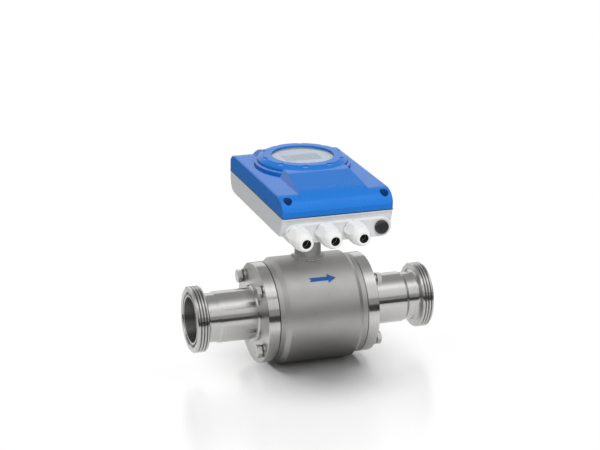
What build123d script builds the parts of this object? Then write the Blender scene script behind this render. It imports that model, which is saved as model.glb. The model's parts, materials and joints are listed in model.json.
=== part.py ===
from build123d import *
import os
from math import cos, radians, sin, sqrt, tan

# Electromagnetic flow meter with round-thread pipe ends and a display head.
# X is the pipe axis, Y points away from the display's front edge, Z is up.
# The origin is on the pipe axis, at the middle of the flow sensor.

# Flow tube and sensor housing
BORE_R = 33.0
LINER_WALL = 3.0
LINER_OUT_R = BORE_R + LINER_WALL
TUBE_WALL = 2.5
TUBE_OUT_R = LINER_OUT_R + TUBE_WALL
HOUSING_R = 77.5
HOUSING_WALL = 3.0
HOUSING_IN_R = HOUSING_R - HOUSING_WALL
END_RING_STEP = 5.0
END_RING_R = HOUSING_R - END_RING_STEP
SENSOR_END_X = 65.6
END_RING_WIDTH = 7.0
BEVEL_END_X = SENSOR_END_X - END_RING_WIDTH
BEVEL_WIDTH = 6.6
BEVEL_START_X = BEVEL_END_X - BEVEL_WIDTH
END_WALL = 19.6
END_WALL_INNER_X = SENSOR_END_X - END_WALL

# Adapter flanges and pipes
FLANGE_GAP = 0.8
FLANGE_IN_X = SENSOR_END_X + FLANGE_GAP
FLANGE_THICK = 17.0
FLANGE_OUT_X = FLANGE_IN_X + FLANGE_THICK
PIPE_WALL = 3.9
PIPE_R = BORE_R + PIPE_WALL
SMALL_PIPE_WALL = 2.2
SMALL_PIPE_R = BORE_R + SMALL_PIPE_WALL
COLLAR_HEIGHT = 3.6
COLLAR_R = PIPE_R + COLLAR_HEIGHT
COLLAR_LENGTH = 5.0
COLLAR_CHAMFER = 1.8
PIPE_LENGTH = 57.1
STEP_START_X = FLANGE_OUT_X + PIPE_LENGTH
STEP_LENGTH = 4.0
SEAM_X = STEP_START_X + STEP_LENGTH

# Round-thread ends
THREAD_R = 47.5
THREAD_DEPTH = 2.1
THREAD_ROOT_R = THREAD_R - THREAD_DEPTH
THREAD_PITCH = 25.4 / 6
THREAD_LENGTH = 17.0
SMALL_PIPE_LENGTH = 17.1
THREAD_BACK_X = SEAM_X + SMALL_PIPE_LENGTH
THREAD_FRONT_X = THREAD_BACK_X + THREAD_LENGTH
CREST_FLAT = 0.8
FIRST_CREST = 2.2
BACK_LAND = 2.0
BACK_FILLET = 6.6
BACK_HUB = 4.3
BACK_HUB_R = SMALL_PIPE_R + BACK_HUB
FRONT_CHAMFER = 1.8
LIP_WALL = 2.4
LIP_R = BORE_R + LIP_WALL
LIP_RECESS = 1.0
GROOVE_DEPTH = 4.5
GROOVE_FLOOR = 2.2
GROOVE_FLOOR_R = LIP_R + GROOVE_FLOOR
GROOVE_TAPER = 2.6
GROOVE_R = GROOVE_FLOOR_R + GROOVE_TAPER

# Flange bolts
BOLT_R = 5.0
BOLT_HOLE_R = BOLT_R + 0.5
WASHER_BORE_R = BOLT_R + 0.2
BOLT_INSET = 10.5
BOLT_CIRCLE_R = END_RING_R - BOLT_INSET
BOLT_FLATS = 17.0
BOLT_HEAD = 6.4
PLAIN_WASHER = 1.8
PLAIN_WASHER_WIDTH = 5.0
PLAIN_WASHER_R = BOLT_R + PLAIN_WASHER_WIDTH
SPRING_WASHER = 2.4
SPRING_WASHER_WIDTH = 3.8
SPRING_WASHER_R = BOLT_R + SPRING_WASHER_WIDTH
BOLT_GRIP = 15.6
BOLT_TIP_X = SENSOR_END_X - BOLT_GRIP
BOLT_ANGLES = (45, 135, 225, 315)
GASKET_WIDTH = 15.0
GASKET_OUT_R = BORE_R + GASKET_WIDTH

# Coils, pole shoes and return yoke
YOKE_GAP = 5.5
YOKE_OUT_R = HOUSING_IN_R - YOKE_GAP
YOKE_WALL = 3.5
YOKE_IN_R = YOKE_OUT_R - YOKE_WALL
YOKE_HALF_X = 18.0
SHOE_IN_R = TUBE_OUT_R + 0.3
SHOE_THICK = 3.0
SHOE_OUT_R = SHOE_IN_R + SHOE_THICK
SHOE_HALF_X = 33.0
SHOE_HALF_ANGLE = 48.0
CORE_R = 9.0
COIL_IN_R = CORE_R + 0.4
COIL_OUT_R = 25.0
COIL_LIFT = 2.2
COIL_LOW_Z = SHOE_OUT_R + COIL_LIFT
COIL_HIGH_Z = YOKE_IN_R - YOKE_GAP

# Electrodes
ELECTRODE_HEAD_R = 5.0
ELECTRODE_HEAD = 1.6
ELECTRODE_STEM_R = 2.5
ELECTRODE_REACH = 11.5
ELECTRODE_TIP = TUBE_OUT_R + ELECTRODE_REACH
SLEEVE_R = 5.5
SLEEVE_LENGTH = 6.5
SLEEVE_END = TUBE_OUT_R + SLEEVE_LENGTH

# Neck
NECK_R = 19.0
NECK_WALL = 2.5
WELD_WIDTH = 3.0
WELD_R = NECK_R + WELD_WIDTH
WELD_HEIGHT = 2.6

# Where the display head sits: its parting plane crosses the neck axis here
HEAD_RISE = 100.5
HEAD_Z = HOUSING_R + HEAD_RISE
HEAD_TILT = 4.6

# Display head, in its own frame: x across, y back, z up from the parting plane
HEAD_HALF_W = 80.5
HEAD_FRONT = -129.0
HEAD_BACK = 112.0
HEAD_WALL = 3.2
CORNER_R = 4.0
BASE_DEPTH = 31.5
PAD_HEIGHT = 1.8
PAD_DEPTH = BASE_DEPTH + PAD_HEIGHT
PAD_FRONT_INSET = 61.0
PAD_FRONT = HEAD_FRONT + PAD_FRONT_INSET
PAD_BACK_INSET = 60.0
PAD_BACK = HEAD_BACK - PAD_BACK_INSET
RIM_DEPTH = 2.4
RIM_STEP = 1.2
BASE_FRONT_CURVE = 27.0
BASE_BACK_CURVE = 24.0
BASE_EDGE = 4.5
SEAL_THICK = 0.8
SEAL_WIDTH = 4.5
COVER_TOP = 26.5
COVER_LIP = 8.5
COVER_FRONT_CURVE = 25.0
COVER_BACK_CURVE = 25.0
COVER_EDGE = 2.0

# Raised centre of the cover and its round seat for the lid
HUMP_HALF_W = 50.5
HUMP_FLANK = 6.0
HUMP_TOP_HALF_W = HUMP_HALF_W - HUMP_FLANK
HUMP_RISE = 11.7
HUMP_TOP = COVER_TOP + HUMP_RISE
HUMP_FRONT_RISE = 4.5
HUMP_FRONT_TOP = COVER_TOP + HUMP_FRONT_RISE
HUMP_FOOT_Z = 6.0
HUMP_NOSE_INSET = 4.0
HUMP_NOSE_RISE = 8.0
HUMP_FRONT_CURVE = 36.0
HUMP_BACK_GAP = 12.0
LID_R = 65.0
LID_Y = 21.0
LID_CLEAR_R = LID_R + 1.0
SEAT_WIDTH = 4.0
SEAT_R = LID_R + SEAT_WIDTH
SEAT_SINK = 5.0
SEAT_TOP = HUMP_TOP - SEAT_SINK

# Screw-on display lid
LID_BOTTOM = SEAT_TOP + 0.5
LID_EDGE = 4.7
LID_EDGE_Z = LID_BOTTOM + LID_EDGE
LID_HEIGHT = 9.3
LID_TOP = LID_BOTTOM + LID_HEIGHT
LID_SLOPE = 8.5
LID_FLAT_R = LID_R - LID_SLOPE
SPIGOT_INSET = 9.0
SPIGOT_OUT_R = LID_R - SPIGOT_INSET
SPIGOT_WALL = 4.0
SPIGOT_IN_R = SPIGOT_OUT_R - SPIGOT_WALL
SPIGOT_DEPTH = 7.7
SPIGOT_BOTTOM = LID_BOTTOM - SPIGOT_DEPTH
LID_FIT = 0.3
FRAME_GAP = 2.0
FRAME_R = SPIGOT_IN_R - FRAME_GAP
FRAME_WIDTH = 3.0
PANE_R = FRAME_R - FRAME_WIDTH
PANE_OVERLAP = 2.6
WINDOW_R = PANE_R - PANE_OVERLAP
WINDOW_SINK = 3.5
WINDOW_TOP = LID_TOP - WINDOW_SINK
WINDOW_THICK = 2.5
FRAME_BOTTOM = WINDOW_TOP - WINDOW_THICK - 1.1
DIMPLE_COUNT = 10
DIMPLE_R = 4.2
DIMPLE_DEPTH = 2.0
DIMPLE_CIRCLE_R = LID_FLAT_R + 2.1
DIMPLE_PHASE = 3.0
LID_SEAL_IN_R = SPIGOT_OUT_R + 1.6
LID_SEAL_OUT_R = LID_SEAL_IN_R + 3.0
LID_SEAL_HIGH = LID_BOTTOM + 1.2

# Display unit under the lid
FACE_R = SPIGOT_IN_R - 2.6
FACE_TOP = FRAME_BOTTOM - 0.7
FACE_THICK = 2.0
BOARD_THICK = 1.6
BOARD_DROP = 8.2
DISPLAY_BOARD_Z = FACE_TOP - BOARD_DROP
BOARD_SIDE_GAP = 12.0
DISPLAY_BOARD_W = 2 * (SPIGOT_IN_R - BOARD_SIDE_GAP)
BOARD_END_GAP = 23.0
DISPLAY_BOARD_D = 2 * (SPIGOT_IN_R - BOARD_END_GAP)
SCREEN_SIDE_GAP = 11.0
SCREEN_W = DISPLAY_BOARD_W - 2 * SCREEN_SIDE_GAP
SCREEN_END_GAP = 12.0
SCREEN_D = DISPLAY_BOARD_D - 2 * SCREEN_END_GAP
SCREEN_OFFSET = 5.0
SCREEN_Y = LID_Y + SCREEN_OFFSET
SCREEN_TOP = FACE_TOP - 0.6
SCREEN_LIP = 2.0
KEY_COUNT = 4
KEY_PITCH = 14.0
KEY_W = 9.0
KEY_D = 6.0
KEY_INSET = 23.4
KEY_Y = LID_Y - FACE_R + KEY_INSET
KEY_TOP = FACE_TOP + 1.1
KEY_CLEAR = 0.3
KEY_FLANGE = 1.2
LEG_R = 3.0

# Boards in the base
BOARD_LIFT = 7.5
MAIN_BOARD_Z = BOARD_LIFT - BASE_DEPTH
BOARD_INSET = 18.5
MAIN_BOARD_HALF_W = HEAD_HALF_W - BOARD_INSET
BOARD_FRONT_INSET = 33.0
MAIN_BOARD_FRONT = HEAD_FRONT + BOARD_FRONT_INSET
BOARD_BACK_INSET = 24.0
MAIN_BOARD_BACK = HEAD_BACK - BOARD_BACK_INSET
STANDOFF_R = 3.5
BOARD_SCREW_R = 1.5
TRANSFORMER_X = 28.0
TRANSFORMER_HALF_W = 16.0
TRANSFORMER_DEPTH = 28.0
TRANSFORMER_HEIGHT = 22.0
TERMINAL_COUNT = 12
TERMINAL_PITCH = 8.5
TERMINAL_DEPTH = 14.0
TERMINAL_HEIGHT = 13.0

# Cable glands and blanking plug along the front block of the base
BLOCK_INSET = 3.5
BLOCK_HALF_W = HEAD_HALF_W - BLOCK_INSET
BLOCK_R = 14.0
BLOCK_RISE = 9.0
BLOCK_Z = BLOCK_RISE - BASE_DEPTH
BLOCK_STEP = 3.0
BLOCK_FRONT = HEAD_FRONT - BLOCK_STEP
BLOCK_LENGTH = 48.0
BLOCK_EDGE = 2.4
BLOCK_WALL = 2.2
ENTRY_WALL = 4.0
ENTRY_END_ROOM = 15.5
ENTRY_PITCH = (BLOCK_HALF_W - ENTRY_END_ROOM) / 1.5
ENTRY_X = [-1.5 * ENTRY_PITCH, -0.5 * ENTRY_PITCH, 0.5 * ENTRY_PITCH]
PLUG_X = 1.5 * ENTRY_PITCH
ENTRY_Z = BLOCK_Z + 0.5
ENTRY_HOLE_R = 10.0
GLAND_FLATS = 27.0
GLAND_CORNER_R = GLAND_FLATS / 2 + 1.9
GLAND_WASHER = 1.5
GLAND_WASHER_R = GLAND_FLATS / 2 - 0.3
GLAND_HEX = 6.0
GLAND_NECK_R = ENTRY_HOLE_R + 1.0
GLAND_NECK = 11.0
GLAND_NECK_WALL = 1.6
GLAND_BORE_R = GLAND_NECK_R - GLAND_NECK_WALL
GLAND_PASSAGE_R = ENTRY_HOLE_R - 3.0
GLAND_LENGTH = 41.5
LOCK_FLATS = 2 * ENTRY_HOLE_R + 2.4
LOCK_NUT = 5.5
LOCK_CLEAR = 0.3
LOCK_ROOM = 16.0
TAIL_SPARE = 4.5
GLAND_TAIL = ENTRY_WALL + LOCK_NUT + TAIL_SPARE
GLAND_TIP_HOLE_R = 6.4
GLAND_TIP_WALL = 2.9
GLAND_TIP_R = GLAND_TIP_HOLE_R + GLAND_TIP_WALL
INSERT_R = GLAND_BORE_R - 0.3
INSERT_HOLE_R = GLAND_TIP_HOLE_R - 0.5
INSERT_START = 6.0
NUT_GAP = 1.1
NUT_HEX = 13.0
PLUG_HOLE_R = 8.0
PLUG_HEAD_R = PLUG_HOLE_R + 1.8
PLUG_HEAD = 6.2
PLUG_DOME = 3.4
FLUTE_COUNT = 14
FLUTE_R = 1.0
PLUG_WASHER = 0.8
PLUG_TAIL = ENTRY_WALL + TAIL_SPARE + 0.5

# Cover screws in deep pockets at the four corners
SCREW_SIDE_INSET = 10.5
SCREW_X = HEAD_HALF_W - SCREW_SIDE_INSET
SCREW_END_INSET = 11.2
SCREW_FRONT_Y = HEAD_FRONT + SCREW_END_INSET
SCREW_BACK_Y = HEAD_BACK - SCREW_END_INSET
SCREW_R = 2.5
SCREW_CLEAR = 0.3
SCREW_HEAD_R = SCREW_R + 1.8
SCREW_HEAD = 4.5
POCKET_R = SCREW_HEAD_R + 1.6
POCKET_DEPTH = 18.5
POCKET_FLOOR = COVER_TOP - POCKET_DEPTH
POST_R = POCKET_R + 1.7
POST_DEPTH = 9.0
SCREW_TIP = 0.6 - POST_DEPTH

# Plate between the neck and the base
PLATE_MARGIN = 17.0
PLATE_R = NECK_R + PLATE_MARGIN
PLATE_THICK = 7.0
PLATE_SEAL = 1.5
PLATE_TOP = -PAD_DEPTH - PLATE_SEAL
PASSAGE_LEDGE = 4.5
PASSAGE_R = NECK_R - NECK_WALL - PASSAGE_LEDGE
PLATE_SCREW_INSET = 8.0
PLATE_SCREW_CIRCLE_R = PLATE_R - PLATE_SCREW_INSET
PLATE_SCREW_R = 2.5
PLATE_SCREW_HEAD_R = PLATE_SCREW_R + 1.75
PLATE_SCREW_HEAD = 5.0
PLATE_BOSS = 9.0

PARTS = {}


def add(name, shape):
    PARTS[name] = shape


def turned(profile):
    # Solid of revolution about the pipe axis from (x, radius) corners
    return revolve(make_face(Polyline(*profile, close=True)), Axis.X)


def pipe_side(shape, side):
    # Shapes are drawn for the outlet (+X); the inlet is their mirror image
    return shape if side > 0 else mirror(shape, Plane.YZ)


def disc(radius, low, high, x=0.0, y=0.0):
    return Pos(x, y, low) * Cylinder(radius, high - low, align=(Align.CENTER, Align.CENTER, Align.MIN))


def ring(inner, outer, low, high, x=0.0, y=0.0):
    return disc(outer, low, high, x, y) - disc(inner, low - 1, high + 1, x, y)


def block(half_w, y0, y1, z0, z1, x=0.0):
    return Pos(x, (y0 + y1) / 2, (z0 + z1) / 2) * Box(2 * half_w, y1 - y0, z1 - z0)


def axial(radius, x0, x1, y=0.0, z=0.0):
    # Cylinder along X
    return Pos((x0 + x1) / 2, y, z) * Rot(0, 90, 0) * Cylinder(radius, abs(x1 - x0))


def inward(radius, y0, y1, x, z):
    # Cylinder along Y
    return Pos(x, (y0 + y1) / 2, z) * Rot(90, 0, 0) * Cylinder(radius, abs(y1 - y0))


def entry_turned(profile, x):
    # Solid of revolution about a cable entry's axis, from (distance in front of the block, radius)
    points = [(radius, distance) for distance, radius in profile]
    shape = revolve(make_face(Polyline(*points, close=True)), Axis.Y)
    return Pos(x, BLOCK_FRONT, ENTRY_Z) * mirror(shape, Plane.XZ)


def entry_hex(flats, near, far, x):
    # Hexagonal prism between two distances in front of the block
    prism = extrude(Plane.XZ * RegularPolygon(flats / sqrt(3), 6), far - near)
    return Pos(x, BLOCK_FRONT - near, ENTRY_Z) * prism


def on_head(shape):
    return Pos(0, 0, HEAD_Z) * Rot(HEAD_TILT, 0, 0) * shape


def wire(radius, points):
    # Round wire along straight runs with ball corners
    shape = None
    for start, end in zip(points, points[1:]):
        axis = Vector(*end) - Vector(*start)
        run = Plane(origin=start, z_dir=axis) * Cylinder(
            radius, axis.length, align=(Align.CENTER, Align.CENTER, Align.MIN)
        )
        ball = Pos(*end) * Sphere(radius)
        shape = run + ball if shape is None else shape + run + ball
    return shape


# Flow sensor
cylinder_room = turned([(-END_WALL_INNER_X, 0), (-END_WALL_INNER_X, HOUSING_IN_R),
                        (END_WALL_INNER_X, HOUSING_IN_R), (END_WALL_INNER_X, 0)])
housing_outside = turned([
    (-SENSOR_END_X, 0), (-SENSOR_END_X, END_RING_R), (-BEVEL_END_X, END_RING_R),
    (-BEVEL_START_X, HOUSING_R), (BEVEL_START_X, HOUSING_R), (BEVEL_END_X, END_RING_R),
    (SENSOR_END_X, END_RING_R), (SENSOR_END_X, 0),
])
housing = housing_outside - cylinder_room - axial(TUBE_OUT_R, -SENSOR_END_X, SENSOR_END_X)
housing -= disc(NECK_R - NECK_WALL, 0, HOUSING_R + 1)
for side in (-1, 1):
    for angle in BOLT_ANGLES:
        y = BOLT_CIRCLE_R * cos(radians(angle))
        z = BOLT_CIRCLE_R * sin(radians(angle))
        housing -= axial(BOLT_R, side * (BOLT_TIP_X - 2), side * SENSOR_END_X, y, z)
add("sensor_housing", housing)

add("measuring_tube", axial(TUBE_OUT_R, -SENSOR_END_X, SENSOR_END_X)
    - axial(LINER_OUT_R, -SENSOR_END_X, SENSOR_END_X)
    - inward(ELECTRODE_STEM_R + 0.2, -SLEEVE_END, SLEEVE_END, 0, 0))
liner = axial(LINER_OUT_R, -SENSOR_END_X, SENSOR_END_X) - axial(BORE_R, -SENSOR_END_X, SENSOR_END_X)
head_seat = BORE_R + ELECTRODE_HEAD
sleeves = []
for side, name in ((-1, "front"), (1, "back")):
    head = inward(ELECTRODE_HEAD_R, side * (BORE_R - 2), side * head_seat, 0, 0) - axial(BORE_R, -20, 20)
    electrode = head + inward(ELECTRODE_STEM_R, side * head_seat, side * ELECTRODE_TIP, 0, 0)
    liner -= electrode
    add("electrode_" + name, electrode)
    sleeve = inward(SLEEVE_R, side * (TUBE_OUT_R - 2), side * SLEEVE_END, 0, 0) - axial(TUBE_OUT_R, -20, 20)
    sleeves.append(sleeve - inward(ELECTRODE_STEM_R, 0, side * (SLEEVE_END + 1), 0, 0))
add("tube_liner", liner)
add("electrode_sleeves", Compound(children=sleeves))

wedge_reach = 2 * SHOE_OUT_R
for side, name in ((1, "upper"), (-1, "lower")):
    half_span = wedge_reach * tan(radians(SHOE_HALF_ANGLE))
    wedge = extrude(Plane.YZ.offset(-SHOE_HALF_X) * make_face(Polyline(
        (0, 0), (-half_span, wedge_reach), (half_span, wedge_reach), close=True)), 2 * SHOE_HALF_X)
    shell = axial(SHOE_OUT_R, -SHOE_HALF_X, SHOE_HALF_X) - axial(SHOE_IN_R, -SHOE_HALF_X, SHOE_HALF_X)
    core = disc(CORE_R, SHOE_OUT_R - 1, YOKE_IN_R + 1) - axial(SHOE_IN_R, -SHOE_HALF_X, SHOE_HALF_X)
    core &= axial(YOKE_IN_R, -SHOE_HALF_X, SHOE_HALF_X)
    shoe = (shell & wedge) + core
    coil = ring(COIL_IN_R, COIL_OUT_R, COIL_LOW_Z, COIL_HIGH_Z)
    coil = fillet(coil.edges().filter_by(GeomType.CIRCLE).filter_by(lambda e: e.radius > COIL_OUT_R - 1), 2.5)
    add("pole_shoe_" + name, shoe if side > 0 else mirror(shoe, Plane.XY))
    add("coil_" + name, coil if side > 0 else mirror(coil, Plane.XY))
add("return_yoke", axial(YOKE_OUT_R, -YOKE_HALF_X, YOKE_HALF_X) - axial(YOKE_IN_R, -YOKE_HALF_X, YOKE_HALF_X))

# Flanged adapters, threaded ends, gaskets and bolts on both sides
collar_end = FLANGE_OUT_X + COLLAR_LENGTH
adapter = turned([
    (FLANGE_IN_X, BORE_R), (FLANGE_IN_X, END_RING_R - 0.6), (FLANGE_IN_X + 0.6, END_RING_R),
    (FLANGE_OUT_X - 0.8, END_RING_R), (FLANGE_OUT_X, END_RING_R - 0.8), (FLANGE_OUT_X, COLLAR_R),
    (collar_end - COLLAR_CHAMFER, COLLAR_R), (collar_end, COLLAR_R - COLLAR_CHAMFER), (collar_end, PIPE_R),
    (STEP_START_X, PIPE_R), (SEAM_X, SMALL_PIPE_R), (SEAM_X, BORE_R),
])
for angle in BOLT_ANGLES:
    y = BOLT_CIRCLE_R * cos(radians(angle))
    z = BOLT_CIRCLE_R * sin(radians(angle))
    adapter -= axial(BOLT_HOLE_R, FLANGE_IN_X - 1, FLANGE_OUT_X + 1, y, z)

thread_centre = (THREAD_ROOT_R + THREAD_R) / 2
crest_count = int((THREAD_LENGTH - FIRST_CREST - BACK_LAND) / THREAD_PITCH) + 1
crest_xs = [THREAD_FRONT_X - FIRST_CREST - THREAD_PITCH * turn for turn in range(crest_count)]
back_fillet_x = THREAD_BACK_X - BACK_FILLET
outline = [Line((SEAM_X, BORE_R), (SEAM_X, SMALL_PIPE_R)),
           Line((SEAM_X, SMALL_PIPE_R), (back_fillet_x, SMALL_PIPE_R)),
           Spline([(back_fillet_x, SMALL_PIPE_R), (THREAD_BACK_X, BACK_HUB_R)], tangents=[(1, 0), (0.25, 1)]),
           Line((THREAD_BACK_X, BACK_HUB_R), (THREAD_BACK_X, THREAD_ROOT_R + 0.9)),
           Line((THREAD_BACK_X, THREAD_ROOT_R + 0.9), (crest_xs[-1] - CREST_FLAT / 2, THREAD_R))]
for index in reversed(range(crest_count)):
    crest = crest_xs[index]
    crest_end = crest + CREST_FLAT / 2
    outline.append(Line((crest - CREST_FLAT / 2, THREAD_R), (crest_end, THREAD_R)))
    if index > 0:
        root = (crest + THREAD_PITCH / 2, THREAD_ROOT_R)
        next_start = crest + THREAD_PITCH - CREST_FLAT / 2
        middle_down = ((crest_end + root[0]) / 2, thread_centre)
        middle_up = ((root[0] + next_start) / 2, thread_centre)
        outline.append(Spline([(crest_end, THREAD_R), middle_down, root, middle_up, (next_start, THREAD_R)],
                              tangents=[(1, 0), (1, 0)]))
front_land_end = crest_xs[0] + CREST_FLAT / 2
groove_x = THREAD_FRONT_X - GROOVE_DEPTH
lip_x = THREAD_FRONT_X - LIP_RECESS
outline += [Line((front_land_end, THREAD_R), (THREAD_FRONT_X, THREAD_R - FRONT_CHAMFER)),
            Line((THREAD_FRONT_X, THREAD_R - FRONT_CHAMFER), (THREAD_FRONT_X, GROOVE_R)),
            Line((THREAD_FRONT_X, GROOVE_R), (groove_x, GROOVE_FLOOR_R)),
            Line((groove_x, GROOVE_FLOOR_R), (groove_x, LIP_R)),
            Line((groove_x, LIP_R), (lip_x, LIP_R)),
            Line((lip_x, LIP_R), (lip_x, BORE_R)),
            Line((lip_x, BORE_R), (SEAM_X, BORE_R))]
threaded_end = revolve(make_face(Curve() + outline), Axis.X)

flange_seal = axial(GASKET_OUT_R, SENSOR_END_X, FLANGE_IN_X)
flange_seal -= axial(BORE_R, SENSOR_END_X - 1, FLANGE_IN_X + 1)
plain_end_x = FLANGE_OUT_X + PLAIN_WASHER
head_x = plain_end_x + SPRING_WASHER
head_end = head_x + BOLT_HEAD
corner_r = BOLT_FLATS / 2 + 3.5
bolts, plain_washers, spring_washers = [], [], []
for angle in BOLT_ANGLES:
    y = BOLT_CIRCLE_R * cos(radians(angle))
    z = BOLT_CIRCLE_R * sin(radians(angle))
    head = extrude(Plane.YZ * RegularPolygon(BOLT_FLATS / sqrt(3), 6), BOLT_HEAD)
    head = Pos(head_x, 0, 0) * head
    head &= turned([(head_x - 1, 0), (head_x - 1, corner_r), (head_end - 1.6, corner_r),
                    (head_end, BOLT_FLATS / 2 - 0.3), (head_end, 0)])
    bolts.append(Pos(0, y, z) * head + axial(BOLT_R, BOLT_TIP_X, head_x, y, z))
    plain = axial(PLAIN_WASHER_R, FLANGE_OUT_X, plain_end_x, y, z)
    plain_washers.append(plain - axial(WASHER_BORE_R, FLANGE_OUT_X - 1, head_x, y, z))
    spring = axial(SPRING_WASHER_R, plain_end_x, head_x, y, z)
    spring -= axial(WASHER_BORE_R, plain_end_x - 1, head_x + 1, y, z)
    slit = Pos((plain_end_x + head_x) / 2, y + SPRING_WASHER_R - 1.5, z) * Rot(35, 0, 0) * Box(6, 7, 0.9)
    spring_washers.append(spring - slit)

for side, name in ((-1, "inlet"), (1, "outlet")):
    add(name + "_adapter", pipe_side(adapter, side))
    add(name + "_threaded_end", pipe_side(threaded_end, side))
    add(name + "_gasket", pipe_side(flange_seal, side))
for name, pieces in (("bolts", bolts), ("plain_washers", plain_washers), ("spring_washers", spring_washers)):
    add("flange_" + name, Compound(children=[pipe_side(piece, side) for side in (-1, 1) for piece in pieces]))

# Neck tube with its weld and the plate that carries the head
plate_bottom = PLATE_TOP - PLATE_THICK
plate = ring(PASSAGE_R, PLATE_R, plate_bottom, PLATE_TOP)
plate = fillet(plate.edges().filter_by(GeomType.CIRCLE).filter_by(lambda e: e.radius > PLATE_R - 1), 1.2)
screw_spots = []
for angle in BOLT_ANGLES:
    x = PLATE_SCREW_CIRCLE_R * cos(radians(angle))
    y = PLATE_SCREW_CIRCLE_R * sin(radians(angle))
    screw_spots.append((x, y))
for x, y in screw_spots:
    plate -= disc(PLATE_SCREW_R + 0.3, plate_bottom - 1, PLATE_TOP + 1, x, y)
cut_reach = 2 * HOUSING_R
below_plate = on_head(block(cut_reach, -cut_reach, cut_reach, -2 * cut_reach, plate_bottom + 0.5))
neck_top = HEAD_Z + PLATE_TOP
neck_foot = HOUSING_R - WELD_R + 2
neck = ring(NECK_R - NECK_WALL, NECK_R, neck_foot, neck_top) & below_plate
weld = (disc(WELD_R, neck_foot, HOUSING_R + WELD_HEIGHT)
        & axial(HOUSING_R + WELD_HEIGHT, -2 * WELD_R, 2 * WELD_R)) - disc(NECK_R - NECK_WALL, 0, neck_top)
neck = (neck + weld) - axial(HOUSING_R, -2 * WELD_R, 2 * WELD_R)
add("neck_tube", neck + on_head(plate))
neck_seal = ring(PASSAGE_R, PLATE_R - 2, PLATE_TOP, -PAD_DEPTH)
plate_screws = []
for x, y in screw_spots:
    neck_seal -= disc(PLATE_SCREW_R + 0.3, PLATE_TOP - 1, -PAD_DEPTH + 1, x, y)
    head = disc(PLATE_SCREW_HEAD_R, plate_bottom - PLATE_SCREW_HEAD, plate_bottom, x, y)
    head = fillet(head.edges().group_by(Axis.Z)[0], 0.5)
    socket = Pos(x, y, plate_bottom - PLATE_SCREW_HEAD) * extrude(RegularPolygon(2.3, 6), 2.6)
    plate_screws.append(head - socket + disc(PLATE_SCREW_R, plate_bottom, -PAD_DEPTH + PLATE_BOSS + 2, x, y))
add("neck_seal", on_head(neck_seal))
add("plate_screws", on_head(Compound(children=plate_screws)))


# Housing base of the head
def base_outline(inset, floor):
    # Side view of the base, from the rim down, with rounded front and back
    front = HEAD_FRONT + RIM_STEP + inset
    back = HEAD_BACK - inset
    floor_front = HEAD_FRONT + BASE_FRONT_CURVE + inset
    floor_back = HEAD_BACK - BASE_BACK_CURVE - inset
    curve = [Line((front, 0), (front, -4)),
             Spline([(front, -4), (floor_front, -floor)], tangents=[(0.15, -1), (1, 0)]),
             Line((floor_front, -floor), (floor_back, -floor)),
             Spline([(floor_back, -floor), (back, -6)], tangents=[(1, 0), (0, 1)]),
             Line((back, -6), (back, 0)),
             Line((back, 0), (front, 0))]
    return make_face(Curve() + curve)


def slot_block(half_w, radius, y0, y1):
    # Bar along Y with a flat-sided, round-ended section
    return Pos(0, y1, BLOCK_Z) * extrude(Plane.XZ * SlotOverall(2 * half_w, 2 * radius), y1 - y0)


middle_y = (HEAD_FRONT + HEAD_BACK) / 2
depth_y = HEAD_BACK - HEAD_FRONT


def plan_block(inset, low, high):
    # Rounded rectangle of the head's plan, between two heights
    plan = RectangleRounded(2 * (HEAD_HALF_W - inset), depth_y - 2 * inset, CORNER_R)
    return Pos(0, middle_y, low) * extrude(plan, high - low)


tub = extrude(Plane.YZ.offset(-HEAD_HALF_W) * base_outline(0, BASE_DEPTH), 2 * HEAD_HALF_W)
tub = fillet(tub.edges().filter_by(Axis.Y).group_by(Axis.Z)[0], BASE_EDGE)
tub &= plan_block(0, -BASE_DEPTH - 1, 1)
rim = plan_block(0, -RIM_DEPTH, 0)
front_block = slot_block(BLOCK_HALF_W, BLOCK_R, BLOCK_FRONT, BLOCK_FRONT + BLOCK_LENGTH)
front_block = fillet(front_block.edges().group_by(Axis.Y)[0], BLOCK_EDGE)
pad = block(HEAD_HALF_W - 6, PAD_FRONT, PAD_BACK, -PAD_DEPTH, -BASE_DEPTH + 2)
pad = fillet(pad.edges().filter_by(Axis.Z), 6)
base = tub + rim + front_block + pad
room = extrude(Plane.YZ.offset(-HEAD_HALF_W + HEAD_WALL) * base_outline(HEAD_WALL, BASE_DEPTH - HEAD_WALL),
               2 * (HEAD_HALF_W - HEAD_WALL))
room += slot_block(BLOCK_HALF_W - BLOCK_WALL, BLOCK_R - BLOCK_WALL, BLOCK_FRONT + ENTRY_WALL,
                   BLOCK_FRONT + BLOCK_LENGTH - BLOCK_WALL)
base -= room
corner_spots = [(sx * SCREW_X, y) for sx in (-1, 1) for y in (SCREW_FRONT_Y, SCREW_BACK_Y)]
base_solid = tub + rim + front_block
for x, y in corner_spots:
    wall_x = HEAD_HALF_W if x > 0 else -HEAD_HALF_W
    rib = block(abs(wall_x - x) / 2, y - 4, y + 4, -POST_DEPTH, 0, x=(x + wall_x) / 2)
    base += (disc(POST_R, -POST_DEPTH, 0, x, y) + rib) & base_solid
    base -= disc(SCREW_R, -POST_DEPTH - 1, 1, x, y)
standoff_spots = [(sx * (MAIN_BOARD_HALF_W - 8), y) for sx in (-1, 1)
                  for y in (MAIN_BOARD_FRONT + 30, MAIN_BOARD_BACK - 12)]
for x, y in standoff_spots:
    base += disc(STANDOFF_R, -BASE_DEPTH + 1, MAIN_BOARD_Z, x, y)
    base -= disc(BOARD_SCREW_R, MAIN_BOARD_Z - 5, MAIN_BOARD_Z + 1, x, y)
for x, y in screw_spots:
    base += disc(PLATE_SCREW_R + 3, -PAD_DEPTH, -PAD_DEPTH + PLATE_BOSS, x, y)
    base -= disc(PLATE_SCREW_R, -PAD_DEPTH - 1, -PAD_DEPTH + PLATE_BOSS + 2, x, y)
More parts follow.
